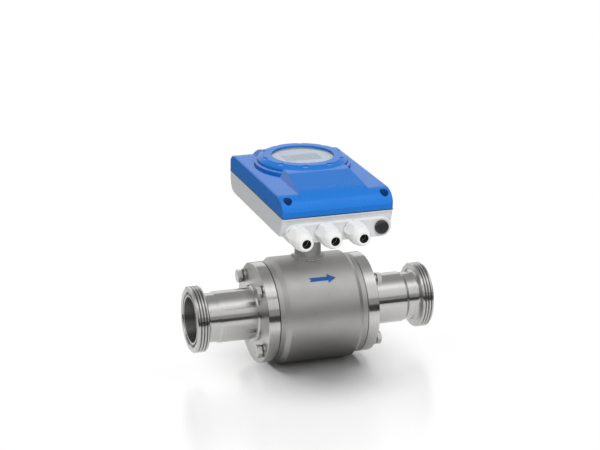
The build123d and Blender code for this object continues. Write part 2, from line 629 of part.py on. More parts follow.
base -= disc(PASSAGE_R, -PAD_DEPTH - 1, MAIN_BOARD_Z)
for x in ENTRY_X:
    base -= inward(ENTRY_HOLE_R, BLOCK_FRONT - 1, BLOCK_FRONT + 2 * ENTRY_WALL, x, ENTRY_Z)
    base -= entry_hex(LOCK_FLATS + 2 * LOCK_CLEAR, -ENTRY_WALL - LOCK_ROOM, -ENTRY_WALL, x)
base -= inward(PLUG_HOLE_R, BLOCK_FRONT - 1, BLOCK_FRONT + 2 * ENTRY_WALL, PLUG_X, ENTRY_Z)
add("housing_base", on_head(base))


# Housing cover
def cover_outline(inset, top):
    # Side view of the cover with its front lip and rounded front and back
    front = HEAD_FRONT + inset
    back = HEAD_BACK - inset
    lip = COVER_LIP - inset * 0.6
    curve = [Line((front, SEAL_THICK), (front, lip)),
             Spline([(front, lip), (front + COVER_FRONT_CURVE, top)], tangents=[(0.35, 1), (1, 0.05)]),
             Line((front + COVER_FRONT_CURVE, top), (back - COVER_BACK_CURVE, top)),
             Spline([(back - COVER_BACK_CURVE, top), (back, lip)], tangents=[(1, 0), (0.08, -1)]),
             Line((back, lip), (back, SEAL_THICK)),
             Line((back, SEAL_THICK), (front, SEAL_THICK))]
    return make_face(Curve() + curve)


def hump_solid(inset):
    # Raised centre: a side profile, narrowed to sloping flanks by a front profile
    foot = (HEAD_FRONT + HUMP_NOSE_INSET + inset, HUMP_FOOT_Z)
    nose = (foot[0], HUMP_FOOT_Z + HUMP_NOSE_RISE - inset / 2)
    front = (HEAD_FRONT + HUMP_FRONT_CURVE, HUMP_FRONT_TOP - inset)
    top_front = (LID_Y - SEAT_R, HUMP_TOP - inset)
    top_back = (HEAD_BACK - HUMP_BACK_GAP - 27.0, HUMP_TOP - inset)
    tail = (HEAD_BACK - HUMP_BACK_GAP - inset, COVER_TOP - 8.0)
    tail_foot = (tail[0], HUMP_FOOT_Z)
    side_curve = [Line(foot, nose),
                  Spline([nose, front], tangents=[(0.5, 1), (1, 0.12)]),
                  Line(front, top_front),
                  Line(top_front, top_back),
                  Spline([top_back, tail], tangents=[(1, -0.1), (0.5, -1)]),
                  Line(tail, tail_foot),
                  Line(tail_foot, foot)]
    side_half = HUMP_HALF_W + 5
    side_shape = extrude(Plane.YZ.offset(-side_half) * make_face(Curve() + side_curve), 2 * side_half)
    right_flank = [(HUMP_TOP_HALF_W - inset, HUMP_TOP + 2), (HUMP_HALF_W - inset, COVER_TOP),
                   (HUMP_HALF_W + 3 - inset, HUMP_FOOT_Z)]
    left_flank = [(-x, z) for x, z in reversed(right_flank)]
    flank = make_face(Polyline(*left_flank, *right_flank, close=True))
    return side_shape & (Pos(0, HEAD_BACK, 0) * extrude(Plane.XZ * flank, HEAD_BACK - HEAD_FRONT))


shell_top = extrude(Plane.YZ.offset(-HEAD_HALF_W) * cover_outline(0, COVER_TOP), 2 * HEAD_HALF_W)
side_edges = shell_top.edges().filter_by(lambda e: abs(abs(e.center().X) - HEAD_HALF_W) < 0.01
                                         and e.center().Z > COVER_LIP + 2)
shell_top = fillet(side_edges, COVER_EDGE)
shell_top &= plan_block(0, 0, COVER_TOP + 1)
cover = shell_top + hump_solid(0) + disc(SEAT_R, COVER_TOP - 16.5, SEAT_TOP, 0, LID_Y)
cover -= disc(LID_CLEAR_R, SEAT_TOP, 60, 0, LID_Y)
cover_solid = cover
inside = extrude(Plane.YZ.offset(-HEAD_HALF_W + HEAD_WALL) * cover_outline(HEAD_WALL, COVER_TOP - HEAD_WALL),
                 2 * (HEAD_HALF_W - HEAD_WALL))
cover -= inside
cover -= hump_solid(HEAD_WALL) - disc(SEAT_R, 0, 60, 0, LID_Y)
for x, y in corner_spots:
    cover += disc(POST_R, SEAL_THICK, 40, x, y) & cover_solid
    cover -= disc(POCKET_R, POCKET_FLOOR, 60, x, y)
    cover -= disc(SCREW_R + SCREW_CLEAR, -1, 60, x, y)
cover -= disc(SPIGOT_OUT_R + LID_FIT, SPIGOT_BOTTOM - 11, 60, 0, LID_Y)
add("housing_cover", on_head(cover))

seal = plan_block(0.3, 0, SEAL_THICK) - plan_block(SEAL_WIDTH, -1, SEAL_THICK + 1)
cover_screws = []
for x, y in corner_spots:
    seal += disc(POST_R + 1.4, 0, SEAL_THICK, x, y)
    seal -= disc(SCREW_R + SCREW_CLEAR, -1, SEAL_THICK + 1, x, y)
    head = disc(SCREW_HEAD_R, POCKET_FLOOR, POCKET_FLOOR + SCREW_HEAD, x, y)
    socket = Pos(x, y, POCKET_FLOOR + 2) * extrude(RegularPolygon(2.3, 6), SCREW_HEAD)
    cover_screws.append(head - socket + disc(SCREW_R, SCREW_TIP, POCKET_FLOOR, x, y))
add("cover_seal", on_head(seal))
add("cover_screws", on_head(Compound(children=cover_screws)))

# Screw-on lid with its window
lid = Pos(0, LID_Y, 0) * revolve(Plane.XZ * make_face(Polyline(
    (WINDOW_R, WINDOW_TOP), (WINDOW_R, LID_TOP - 0.8), (WINDOW_R + 0.8, LID_TOP), (LID_FLAT_R, LID_TOP),
    (LID_R - 1.6, LID_EDGE_Z + 1.3), (LID_R, LID_EDGE_Z - 0.6), (LID_R, LID_BOTTOM),
    (LID_SEAL_OUT_R, LID_BOTTOM), (LID_SEAL_OUT_R, LID_SEAL_HIGH), (LID_SEAL_IN_R, LID_SEAL_HIGH),
    (LID_SEAL_IN_R, LID_BOTTOM), (SPIGOT_OUT_R, LID_BOTTOM), (SPIGOT_OUT_R, SPIGOT_BOTTOM),
    (SPIGOT_IN_R, SPIGOT_BOTTOM), (SPIGOT_IN_R, FRAME_BOTTOM), (FRAME_R, FRAME_BOTTOM),
    (FRAME_R, WINDOW_TOP), close=True)), Axis.Z)
for index in range(DIMPLE_COUNT):
    angle = radians(DIMPLE_PHASE + 360 / DIMPLE_COUNT * index)
    x = DIMPLE_CIRCLE_R * cos(angle)
    y = LID_Y + DIMPLE_CIRCLE_R * sin(angle)
    lid -= disc(DIMPLE_R, LID_TOP - DIMPLE_DEPTH, LID_TOP + 1, x, y)
add("lid_ring", on_head(lid))
pane_low = WINDOW_TOP - WINDOW_THICK
add("lid_window", on_head(disc(PANE_R, pane_low, WINDOW_TOP, 0, LID_Y)))
frame = ring(PANE_R, FRAME_R, FRAME_BOTTOM, WINDOW_TOP, 0, LID_Y)
frame += ring(WINDOW_R + 0.6, PANE_R + 1, FRAME_BOTTOM, pane_low, 0, LID_Y)
add("window_frame", on_head(frame))
lid_seal = ring(LID_SEAL_IN_R + 0.3, LID_SEAL_OUT_R - 0.3, SEAT_TOP + 0.1, LID_SEAL_HIGH - 0.3, 0, LID_Y)
add("lid_seal", on_head(lid_seal))

# Display unit: face plate, screen, keys, switches, board and carrier
key_xs = [KEY_PITCH * (index - (KEY_COUNT - 1) / 2) for index in range(KEY_COUNT)]
face_low = FACE_TOP - FACE_THICK
face = disc(FACE_R, face_low, FACE_TOP, 0, LID_Y)
face = chamfer(face.edges().group_by(Axis.Z)[-1], 0.6)
face -= Pos(0, SCREEN_Y, FACE_TOP) * Box(SCREEN_W - 2 * SCREEN_LIP, SCREEN_D - 2 * SCREEN_LIP, 12)
for x in key_xs:
    hole = RectangleRounded(KEY_W + 2 * KEY_CLEAR, KEY_D + 2 * KEY_CLEAR, 1.8)
    face -= Pos(x, KEY_Y, face_low - 1) * extrude(hole, FACE_THICK + 2)
board_top = DISPLAY_BOARD_Z + BOARD_THICK
screen_plan = RectangleRounded(SCREEN_W, SCREEN_D, 1.0)
screen = Pos(0, SCREEN_Y, board_top) * extrude(screen_plan, face_low - board_top)
shown_w = SCREEN_W - 2 * SCREEN_LIP - 0.6
shown_d = SCREEN_D - 2 * SCREEN_LIP - 0.6
screen += Pos(0, SCREEN_Y, face_low) * extrude(RectangleRounded(shown_w, shown_d, 0.6), SCREEN_TOP - face_low)
add("display_screen", on_head(screen))
switches = []
for index, x in enumerate(key_xs):
    cap_low = face_low - 1.0
    cap = Pos(x, KEY_Y, cap_low) * extrude(RectangleRounded(KEY_W, KEY_D, 1.5), KEY_TOP - cap_low)
    cap = fillet(cap.edges().group_by(Axis.Z)[-1], 0.5)
    flange = RectangleRounded(KEY_W + 2 * KEY_FLANGE, KEY_D + 2 * KEY_FLANGE, 1.5)
    add("key_%d" % (index + 1), on_head(cap + Pos(x, KEY_Y, face_low - 1.3) * extrude(flange, 1.0)))
    switches.append(block(3.0, KEY_Y - 3.0, KEY_Y + 3.0, board_top, board_top + 1.9, x=x))
add("key_switches", on_head(Compound(children=switches)))
main_top = MAIN_BOARD_Z + BOARD_THICK
board_plan = RectangleRounded(DISPLAY_BOARD_W, DISPLAY_BOARD_D, 5)
frame_plan = board_plan - RectangleRounded(DISPLAY_BOARD_W - 16, DISPLAY_BOARD_D - 16, 4)
add("display_board", on_head(Pos(0, LID_Y, DISPLAY_BOARD_Z) * extrude(board_plan, BOARD_THICK)))
carrier = Pos(0, LID_Y, DISPLAY_BOARD_Z - 2.0) * extrude(frame_plan, 2.0)
for sx in (-1, 1):
    for sy in (-1, 1):
        x = sx * (DISPLAY_BOARD_W / 2 - LEG_R - 1)
        y = LID_Y + sy * (DISPLAY_BOARD_D / 2 - LEG_R - 1)
        carrier += disc(LEG_R, main_top, DISPLAY_BOARD_Z - 1, x, y)
        face += disc(LEG_R, board_top, face_low, x, y)
add("display_carrier", on_head(carrier))
add("display_face", on_head(face))

# Electronics in the base
main_board = block(MAIN_BOARD_HALF_W, MAIN_BOARD_FRONT, MAIN_BOARD_BACK, MAIN_BOARD_Z, main_top)
main_board -= disc(PASSAGE_R - 5, MAIN_BOARD_Z - 1, main_top + 1)
for x, y in corner_spots:
    main_board -= disc(POST_R + 1.4, MAIN_BOARD_Z - 1, main_top + 1, x, y)
for x, y in screw_spots:
    main_board -= disc(PLATE_SCREW_R + 3.5, MAIN_BOARD_Z - 1, main_top + 1, x, y)
board_screws = []
for x, y in standoff_spots:
    main_board -= disc(BOARD_SCREW_R + 0.2, MAIN_BOARD_Z - 1, main_top + 1, x, y)
    board_screws.append(disc(2.8, main_top, main_top + 1.8, x, y)
                        + disc(BOARD_SCREW_R, MAIN_BOARD_Z - 5, main_top, x, y))
add("main_board", on_head(main_board))
add("board_screws", on_head(Compound(children=board_screws)))
core_back = MAIN_BOARD_BACK - 5.0
core_front = core_back - TRANSFORMER_DEPTH
core_top = main_top + TRANSFORMER_HEIGHT
transformer = block(TRANSFORMER_HALF_W, core_front, core_back, main_top, core_top, x=TRANSFORMER_X)
transformer = fillet(transformer.edges().filter_by(Axis.Z), 1.5)
transformer += block(TRANSFORMER_HALF_W - 7, core_front - 3, core_back + 3, main_top + 5, core_top - 5,
                     x=TRANSFORMER_X)
add("power_transformer", on_head(transformer))
strip_front = MAIN_BOARD_FRONT + 4.0
strip_back = strip_front + TERMINAL_DEPTH
strip_top = main_top + TERMINAL_HEIGHT
terminals = block(TERMINAL_COUNT * TERMINAL_PITCH / 2 + 1, strip_front, strip_back, main_top, strip_top)
for index in range(TERMINAL_COUNT):
    x = TERMINAL_PITCH * (index - (TERMINAL_COUNT - 1) / 2)
    terminals -= block(2.4, strip_front - 1, strip_back - 6, main_top + 2, strip_top - 5, x=x)
    terminals -= disc(2.2, strip_top - 4, strip_top + 1, x, strip_back - 5)
add("terminal_block", on_head(terminals))
connector = block(11, -9, 9, main_top, main_top + 9)
add("sensor_plug", on_head(fillet(connector.edges().filter_by(Axis.Z), 1.5)))

wires_z = YOKE_OUT_R + 2.6
cable_low_z = wires_z + 1.4
coil_lead_x = COIL_OUT_R - 4
coil_lead_z = COIL_HIGH_Z - 1.5
beside_x = COIL_OUT_R + 3
lead_y = ELECTRODE_TIP - 2.5
round_r = YOKE_IN_R - 15.5
under_board = on_head(block(cut_reach, -cut_reach, cut_reach, -2 * cut_reach, main_top))
leads = disc(3.4, cable_low_z, HEAD_Z + 5) & under_board
leads += wire(0.7, [(0, 0, cable_low_z + 1), (0, 0, wires_z), (coil_lead_x, 0, wires_z),
                    (coil_lead_x, 0, coil_lead_z)])
for side in (-1, 1):
    leads += wire(0.7, [(0, 0, wires_z), (-beside_x, 0, wires_z), (-beside_x, 0, COIL_HIGH_Z),
                        (-beside_x, side * (lead_y - 12.5), SHOE_OUT_R + 3.2),
                        (-beside_x, side * (lead_y - 0.5), 20), (-6, side * lead_y, 0),
                        (0, side * lead_y, 0)])
leads += wire(0.7, [(coil_lead_x, 0, wires_z), (beside_x, 0, wires_z), (beside_x, round_r, round_r - 10),
                    (beside_x, round_r, 10 - round_r), (coil_lead_x, 10, -coil_lead_z - 2)])
add("sensor_leads", leads - inward(ELECTRODE_STEM_R, -ELECTRODE_TIP, ELECTRODE_TIP, 0, 0)
    - PARTS["coil_upper"] - PARTS["coil_lower"])

# Cable glands: washer, body, lock nut, clamping insert and dome nut
hex_end = GLAND_WASHER + GLAND_HEX
neck_end = hex_end + GLAND_NECK
nut_start = hex_end + NUT_GAP
insert_end = neck_end + 8.0
tip_start = GLAND_LENGTH - 10.0
washers, lock_nuts = [], []
for index, x in enumerate(ENTRY_X):
    washers.append(entry_turned([(0, ENTRY_HOLE_R), (0, GLAND_WASHER_R), (GLAND_WASHER, GLAND_WASHER_R),
                                 (GLAND_WASHER, ENTRY_HOLE_R)], x))
    body = entry_hex(GLAND_FLATS, GLAND_WASHER, hex_end, x)
    body &= entry_turned([(0, 0), (0, GLAND_CORNER_R - 0.2), (hex_end - 1.2, GLAND_CORNER_R - 0.2),
                          (hex_end, GLAND_CORNER_R - 1.2), (hex_end, 0)], x)
    body += entry_turned([(-GLAND_TAIL, 0), (-GLAND_TAIL, ENTRY_HOLE_R), (GLAND_WASHER, ENTRY_HOLE_R),
                          (GLAND_WASHER, 0)], x)
    body += entry_turned([(hex_end - 1, 0), (hex_end - 1, GLAND_NECK_R), (neck_end, GLAND_NECK_R),
                          (neck_end, 0)], x)
    body -= entry_turned([(-GLAND_TAIL - 1, 0), (-GLAND_TAIL - 1, GLAND_PASSAGE_R), (2, GLAND_PASSAGE_R),
                          (4, GLAND_BORE_R), (neck_end + 1, GLAND_BORE_R), (neck_end + 1, 0)], x)
    lock = entry_hex(LOCK_FLATS, -ENTRY_WALL - LOCK_NUT, -ENTRY_WALL, x)
    lock_nuts.append(lock - entry_turned([(-GLAND_TAIL, 0), (-GLAND_TAIL, ENTRY_HOLE_R), (0, ENTRY_HOLE_R),
                                          (0, 0)], x))
    insert = entry_turned([(INSERT_START, INSERT_HOLE_R), (INSERT_START, INSERT_R), (neck_end + 1, INSERT_R),
                           (insert_end, INSERT_R - 1.7), (insert_end, INSERT_HOLE_R)], x)
    nut = entry_hex(GLAND_FLATS, nut_start, GLAND_LENGTH, x)
    nut &= entry_turned([(nut_start, 0), (nut_start, GLAND_CORNER_R - 1.0), (nut_start + 1.0, GLAND_CORNER_R),
                         (nut_start + NUT_HEX, GLAND_CORNER_R - 0.4),
                         (GLAND_LENGTH - 8.0, GLAND_CORNER_R - 2.4), (GLAND_LENGTH - 2.0, GLAND_TIP_R + 1.3),
                         (GLAND_LENGTH, GLAND_TIP_R), (GLAND_LENGTH, 0)], x)
    nut -= entry_turned([(0, 0), (0, GLAND_NECK_R + LID_FIT), (neck_end + 1.5, GLAND_NECK_R + LID_FIT),
                         (tip_start, GLAND_TIP_HOLE_R + 0.6), (tip_start, GLAND_TIP_HOLE_R),
                         (GLAND_LENGTH + 1, GLAND_TIP_HOLE_R), (GLAND_LENGTH + 1, 0)], x)
    number = str(index + 1)
    add("gland_body_" + number, on_head(body))
    add("gland_insert_" + number, on_head(insert))
    add("gland_nut_" + number, on_head(nut))
add("gland_washers", on_head(Compound(children=washers)))
add("gland_lock_nuts", on_head(Compound(children=lock_nuts)))

plug_end = PLUG_WASHER + PLUG_HEAD
plug_head = entry_turned([(PLUG_WASHER, 0), (PLUG_WASHER, PLUG_HEAD_R), (plug_end, PLUG_HEAD_R), (plug_end, 0)],
                         PLUG_X)
plug_head = fillet(plug_head.edges().group_by(Axis.Y)[0], PLUG_DOME)
for index in range(FLUTE_COUNT):
    angle = radians(360 * index / FLUTE_COUNT)
    x = PLUG_X + (PLUG_HEAD_R + FLUTE_R / 3) * cos(angle)
    z = ENTRY_Z + (PLUG_HEAD_R + FLUTE_R / 3) * sin(angle)
    plug_head -= inward(FLUTE_R, BLOCK_FRONT - plug_end - 1, BLOCK_FRONT - 2 * PLUG_WASHER, x, z)
plug = plug_head + entry_turned([(-PLUG_TAIL, 0), (-PLUG_TAIL, PLUG_HOLE_R), (PLUG_WASHER, PLUG_HOLE_R),
                                 (PLUG_WASHER, 0)], PLUG_X)
add("blanking_plug", on_head(plug))
plug_washer_r = PLUG_HEAD_R - 0.2
add("plug_washer", on_head(entry_turned([(0, PLUG_HOLE_R), (0, plug_washer_r), (PLUG_WASHER, plug_washer_r),
                                         (PLUG_WASHER, PLUG_HOLE_R)], PLUG_X)))

os.makedirs("parts", exist_ok=True)
for name, shape in PARTS.items():
    if not isinstance(shape, Compound):
        shape = Compound(children=[shape])
    export_step(shape, "parts/" + name + ".step")
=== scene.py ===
import json
from math import cos, pi, radians, sin, sqrt, tan

import bpy
from mathutils import Matrix, Vector


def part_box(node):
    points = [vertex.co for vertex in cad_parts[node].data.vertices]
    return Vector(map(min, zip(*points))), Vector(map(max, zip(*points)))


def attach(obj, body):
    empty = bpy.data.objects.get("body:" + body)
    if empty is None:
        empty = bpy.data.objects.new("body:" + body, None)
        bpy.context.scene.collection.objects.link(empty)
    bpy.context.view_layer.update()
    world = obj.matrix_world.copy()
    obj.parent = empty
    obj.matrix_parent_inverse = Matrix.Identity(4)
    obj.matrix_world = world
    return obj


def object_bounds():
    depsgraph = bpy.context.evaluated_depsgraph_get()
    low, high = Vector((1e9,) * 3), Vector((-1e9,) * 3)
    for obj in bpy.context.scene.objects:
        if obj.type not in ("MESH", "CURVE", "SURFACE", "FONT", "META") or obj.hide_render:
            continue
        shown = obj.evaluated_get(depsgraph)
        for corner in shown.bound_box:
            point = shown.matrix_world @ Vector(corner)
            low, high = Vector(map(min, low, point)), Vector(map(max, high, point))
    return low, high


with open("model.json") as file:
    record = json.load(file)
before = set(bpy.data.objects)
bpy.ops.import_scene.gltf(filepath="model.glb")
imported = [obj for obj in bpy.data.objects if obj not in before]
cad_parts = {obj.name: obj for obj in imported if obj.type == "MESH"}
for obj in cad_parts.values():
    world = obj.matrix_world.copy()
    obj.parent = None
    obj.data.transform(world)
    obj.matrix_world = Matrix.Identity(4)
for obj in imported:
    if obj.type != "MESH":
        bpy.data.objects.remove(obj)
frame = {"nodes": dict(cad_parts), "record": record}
cad_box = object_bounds()
nodes = frame["nodes"]
MM = 0.001

# Sizes shared with the solid model
HOUSING_R = 77.5 * MM
HEAD_TILT = radians(4.6)
HEAD_RISE = 178.0 * MM
HEAD_BOTTOM = 120.0 * MM
HEAD_HALF_W = 80.5 * MM
HEAD_FRONT = -129.0 * MM
HEAD_BACK = 112.0 * MM
HEAD_MIDDLE_Y = (HEAD_FRONT + HEAD_BACK) / 2
HEAD_HALF_LENGTH = (HEAD_BACK - HEAD_FRONT) / 2
HEAD_CORNER_R = 4.0 * MM
SCREW_SIDE_INSET = 10.5 * MM
SCREW_END_INSET = 11.2 * MM
POCKET_R = 5.9 * MM
THREAD_ROOT_R = 45.4 * MM
THREAD_DEPTH = 2.1 * MM
THREAD_BACK_X = 162.0 * MM
THREAD_FRONT_X = 177.6 * MM

# Camera
IMAGE_W = 600
CAMERA_PLACE = (-0.81492, -2.30835, 0.75657)
CAMERA_YAW = 0.33565
CAMERA_PITCH = -0.25333
CAMERA_ROLL = -0.01095
FOCAL_PIXELS = 1763.9
CENTRE_RIGHT_PIXELS = 1.04
CENTRE_DOWN_PIXELS = -0.44
SENSOR_W = 36.0
SEES_AS_FAR_AS = 60.0


def put_camera():
    ahead = Vector((sin(CAMERA_YAW), cos(CAMERA_YAW), 0.0))
    forward = ahead * cos(CAMERA_PITCH) + Vector((0.0, 0.0, sin(CAMERA_PITCH)))
    level_right = Vector((cos(CAMERA_YAW), -sin(CAMERA_YAW), 0.0))
    level_up = level_right.cross(forward)
    right = cos(CAMERA_ROLL) * level_right + sin(CAMERA_ROLL) * level_up
    up = -sin(CAMERA_ROLL) * level_right + cos(CAMERA_ROLL) * level_up
    data = bpy.data.cameras.new("camera")
    data.sensor_fit = "HORIZONTAL"
    data.sensor_width = SENSOR_W
    data.lens = FOCAL_PIXELS / IMAGE_W * SENSOR_W
    data.shift_x = -CENTRE_RIGHT_PIXELS / IMAGE_W
    data.shift_y = CENTRE_DOWN_PIXELS / IMAGE_W
    data.clip_end = SEES_AS_FAR_AS
    camera = bpy.data.objects.new("camera", data)
    turn = Matrix((right, up, -forward)).transposed().to_4x4()
    camera.matrix_world = Matrix.Translation(CAMERA_PLACE) @ turn
    bpy.context.scene.collection.objects.link(camera)
    bpy.context.scene.camera = camera


put_camera()

# Places of the sockets of the colour Mix node
MIX_SHARE = 0
MIX_FIRST = 6
MIX_OTHER = 7
MIX_RESULT = 2

# Rays that each Bevel node looks with
BEVEL_SAMPLES = {"samples": 4}


# Node helpers
def add_node(tree, kind, settings=None, **inputs):
    """A new node: settings are its own properties, inputs are values or links for its sockets."""
    node = tree.nodes.new(kind)
    for key, value in (settings or {}).items():
        setattr(node, key, value)
    for key, value in inputs.items():
        name = key.replace("_", " ")
        if isinstance(value, bpy.types.NodeSocket):
            tree.links.new(value, node.inputs[name])
        else:
            node.inputs[name].default_value = value
    return node


def calculate(tree, operation, first, second=0.0):
    node = tree.nodes.new("ShaderNodeMath")
    node.operation = operation
    for socket, value in zip(node.inputs, (first, second)):
        if isinstance(value, bpy.types.NodeSocket):
            tree.links.new(value, socket)
        else:
            socket.default_value = value
    return node.outputs[0]


def distance(tree, first, second):
    """The distance from the origin of a point with these two coordinates."""
    squares = [calculate(tree, "MULTIPLY", part, part) for part in (first, second)]
    return calculate(tree, "SQRT", calculate(tree, "ADD", *squares))


def mix_shaders(tree, share, first, second):
    """Two shaders mixed. The node's sockets for them have one name, so they go by number."""
    mix = add_node(tree, "ShaderNodeMixShader", Fac=share)
    tree.links.new(first, mix.inputs[1])
    tree.links.new(second, mix.inputs[2])
    return mix.outputs["Shader"]


def rgba(colour):
    return (*colour, 1.0)


def grey(level):
    return (level, level, level, 1.0)


def dimmed(colour, share):
    return tuple(part * share for part in colour)


def lightened(colour, share):
    """The colour moved by a share of the way to white."""
    return tuple(part + (1.0 - part) * share for part in colour)


class Surface:
    """A procedural material on the part's own coordinates, in metres."""

    def __init__(self, name, colour, roughness, metallic=0.0):
        self.material = bpy.data.materials.new(name)
        self.material.use_nodes = True
        self.tree = self.material.node_tree
        self.shader = self.tree.nodes["Principled BSDF"]
        self.set(Metallic=metallic, Base_Color=rgba(colour), Roughness=roughness)
        self.roughness = roughness
        self.place = add_node(self.tree, "ShaderNodeTexCoord").outputs["Object"]
        self.heights = []

    def set(self, **values):
        for key, value in values.items():
            self.shader.inputs[key.replace("_", " ")].default_value = value

    def noise(self, grain, detail=3.0, stretch=None, place=None, distortion=0.0):
        """Noise whose features are about grain metres across, longer along an axis by its stretch."""
        vector = place or self.place
        if stretch:
            scale = tuple(1.0 / part for part in stretch)
            mapping = add_node(self.tree, "ShaderNodeMapping", Vector=vector, Scale=scale)
            vector = mapping.outputs["Vector"]
        node = add_node(self.tree, "ShaderNodeTexNoise", Vector=vector, Scale=1.0 / grain,
                        Detail=detail, Roughness=0.55, Distortion=distortion)
        return node.outputs["Fac"]

    def spread(self, value, low, high, from_low=0.3, from_high=0.7):
        """The value's range, which for a noise is mostly 0.3 to 0.7, taken to low and high."""
        node = add_node(self.tree, "ShaderNodeMapRange", Value=value, From_Min=from_low,
                        From_Max=from_high, To_Min=low, To_Max=high)
        return node.outputs["Result"]

    def mixed(self, first, second, share=0.5):
        """The first value by its share and the second by the rest."""
        first_part = calculate(self.tree, "MULTIPLY", first, share)
        second_part = calculate(self.tree, "MULTIPLY", second, 1.0 - share)
        return calculate(self.tree, "ADD", first_part, second_part)

    def split(self, vector):
        return add_node(self.tree, "ShaderNodeSeparateXYZ", Vector=vector).outputs

    def round_place(self, axis):
        """Coordinates that stay the same round an axis: along it, and out from it."""
        parts = self.split(self.place)
        across = [parts[other] for other in "XYZ" if other != axis]
        radius = distance(self.tree, *across)
        joined = add_node(self.tree, "ShaderNodeCombineXYZ", X=parts[axis], Y=radius)
        return joined.outputs["Vector"]

    def tint(self, value, other, low=0.3, high=0.7):
        """Moves the colour towards another as the value goes from low to high."""
        mix = add_node(self.tree, "ShaderNodeMix", {"data_type": "RGBA"})
        self.tree.links.new(self.spread(value, 0.0, 1.0, low, high), mix.inputs[MIX_SHARE])
        base = self.shader.inputs["Base Color"]
        if base.is_linked:
            self.tree.links.new(base.links[0].from_socket, mix.inputs[MIX_FIRST])
        else:
            mix.inputs[MIX_FIRST].default_value = base.default_value
        mix.inputs[MIX_OTHER].default_value = rgba(other)
        self.tree.links.new(mix.outputs[MIX_RESULT], base)

    def rough(self, value, swing):
        """Roughness that varies by swing either side of the surface's own."""
        spread = self.spread(value, self.roughness - swing, self.roughness + swing)
        self.tree.links.new(spread, self.shader.inputs["Roughness"])

    def rough_where(self, value, roughness):
        """Takes the roughness to another one where the value is 1."""
        socket = self.shader.inputs["Roughness"]
        own = socket.links[0].from_socket
        step = calculate(self.tree, "SUBTRACT", roughness, own)
        change = calculate(self.tree, "MULTIPLY", step, value)
        self.tree.links.new(calculate(self.tree, "ADD", own, change), socket)

    def within(self, axis, radius, fade):
        """A value that is 1 within the radius of an axis and fades to 0 over the next fade metres."""
        out = self.split(self.round_place(axis))["Y"]
        return self.spread(out, 1.0, 0.0, radius, radius + fade)

    def facing(self, axis):
        """A value that is 1 where the surface faces along the axis."""
        normal = add_node(self.tree, "ShaderNodeNewGeometry").outputs["True Normal"]
        along = calculate(self.tree, "ABSOLUTE", self.split(normal)[axis])
        return self.spread(along, 0.0, 1.0, from_low=0.75, from_high=0.95)

    def thread_roots(self):
        """A value that rises towards the bottom of the grooves of the two threaded ends, where painted
        shade goes.
        """
        deep = self.within("X", THREAD_ROOT_R, fade=0.7 * THREAD_DEPTH)
        along = calculate(self.tree, "ABSOLUTE", self.split(self.place)["X"])
        after_back = calculate(self.tree, "GREATER_THAN", along, THREAD_BACK_X)
        before_front = calculate(self.tree, "LESS_THAN", along, THREAD_FRONT_X)
        on_thread = calculate(self.tree, "MULTIPLY", after_back, before_front)
        return calculate(self.tree, "MULTIPLY", deep, on_thread)

    def relief(self, value, depth):
        """Adds a height pattern, depth metres from low to high."""
        self.heights.append((value, depth))

    def edges(self, radius):
        """A value that rises along the edges, within about radius of them."""
        soft = add_node(self.tree, "ShaderNodeBevel", BEVEL_SAMPLES, Radius=radius).outputs["Normal"]
        true = add_node(self.tree, "ShaderNodeNewGeometry").outputs["Normal"]
        dot = add_node(self.tree, "ShaderNodeVectorMath", {"operation": "DOT_PRODUCT"})
        self.tree.links.new(soft, dot.inputs[0])
        self.tree.links.new(true, dot.inputs[1])
        return calculate(self.tree, "SUBTRACT", 1.0, dot.outputs["Value"])

    def finish(self, edge=0.0):
        """Joins the height patterns into the shader, over edges softened by edge metres."""
        normal = None
        if edge:
            normal = add_node(self.tree, "ShaderNodeBevel", BEVEL_SAMPLES, Radius=edge).outputs["Normal"]
        for value, depth in self.heights:
            bump = add_node(self.tree, "ShaderNodeBump", Height=value, Strength=1.0, Distance=depth)
            if normal:
                self.tree.links.new(normal, bump.inputs["Normal"])
            normal = bump.outputs["Normal"]
        if normal:
            self.tree.links.new(normal, self.shader.inputs["Normal"])
        return self.material


# Metals
TURNED_FACE_ROUGHNESS = 0.34
TURNED_BORE_ROUGHNESS = 0.40
THREAD_ROOT_PAINTED_SHADE = 0.42


def turned_metal(name, colour, roughness, axis="X", stretch=0.55, bore=0.0, painted_root_shade=False):
    """Lathe-turned metal: fine rings that draw reflections out, duller on end faces and in the bore,
    with painted shade in the thread grooves when asked.
    """
    surface = Surface(name, colour, roughness, metallic=1.0)
    rings = surface.noise(0.12 * MM, detail=4.0, place=surface.round_place(axis))
    passes = surface.noise(1.6 * MM, detail=2.0, place=surface.round_place(axis))
    handling = surface.noise(30.0 * MM, detail=5.0)
    surface.tint(passes, dimmed(colour, 0.88))
    surface.tint(handling, dimmed(colour, 0.95), low=0.5, high=0.8)
    handled = calculate(surface.tree, "ADD", handling, 0.5)
    surface.rough(calculate(surface.tree, "MULTIPLY", passes, handled), swing=0.04)
    surface.rough_where(surface.facing(axis), TURNED_FACE_ROUGHNESS)
    if bore:
        surface.rough_where(surface.within(axis, bore, fade=0.4 * MM), TURNED_BORE_ROUGHNESS)
    # Painted shade: the thread grooves are tinted darker towards their roots.
    if painted_root_shade:
        surface.tint(surface.thread_roots(), dimmed(colour, THREAD_ROOT_PAINTED_SHADE), low=0.0, high=1.0)
    surface.relief(rings, 0.0012 * MM)
    surface.relief(passes, 0.002 * MM)
    around = add_node(surface.tree, "ShaderNodeTangent", {"direction_type": "RADIAL", "axis": axis})
    surface.tree.links.new(around.outputs["Tangent"], surface.shader.inputs["Tangent"])
    surface.set(Anisotropic=stretch, Anisotropic_Rotation=0.25)
    return surface.finish(edge=0.3 * MM)


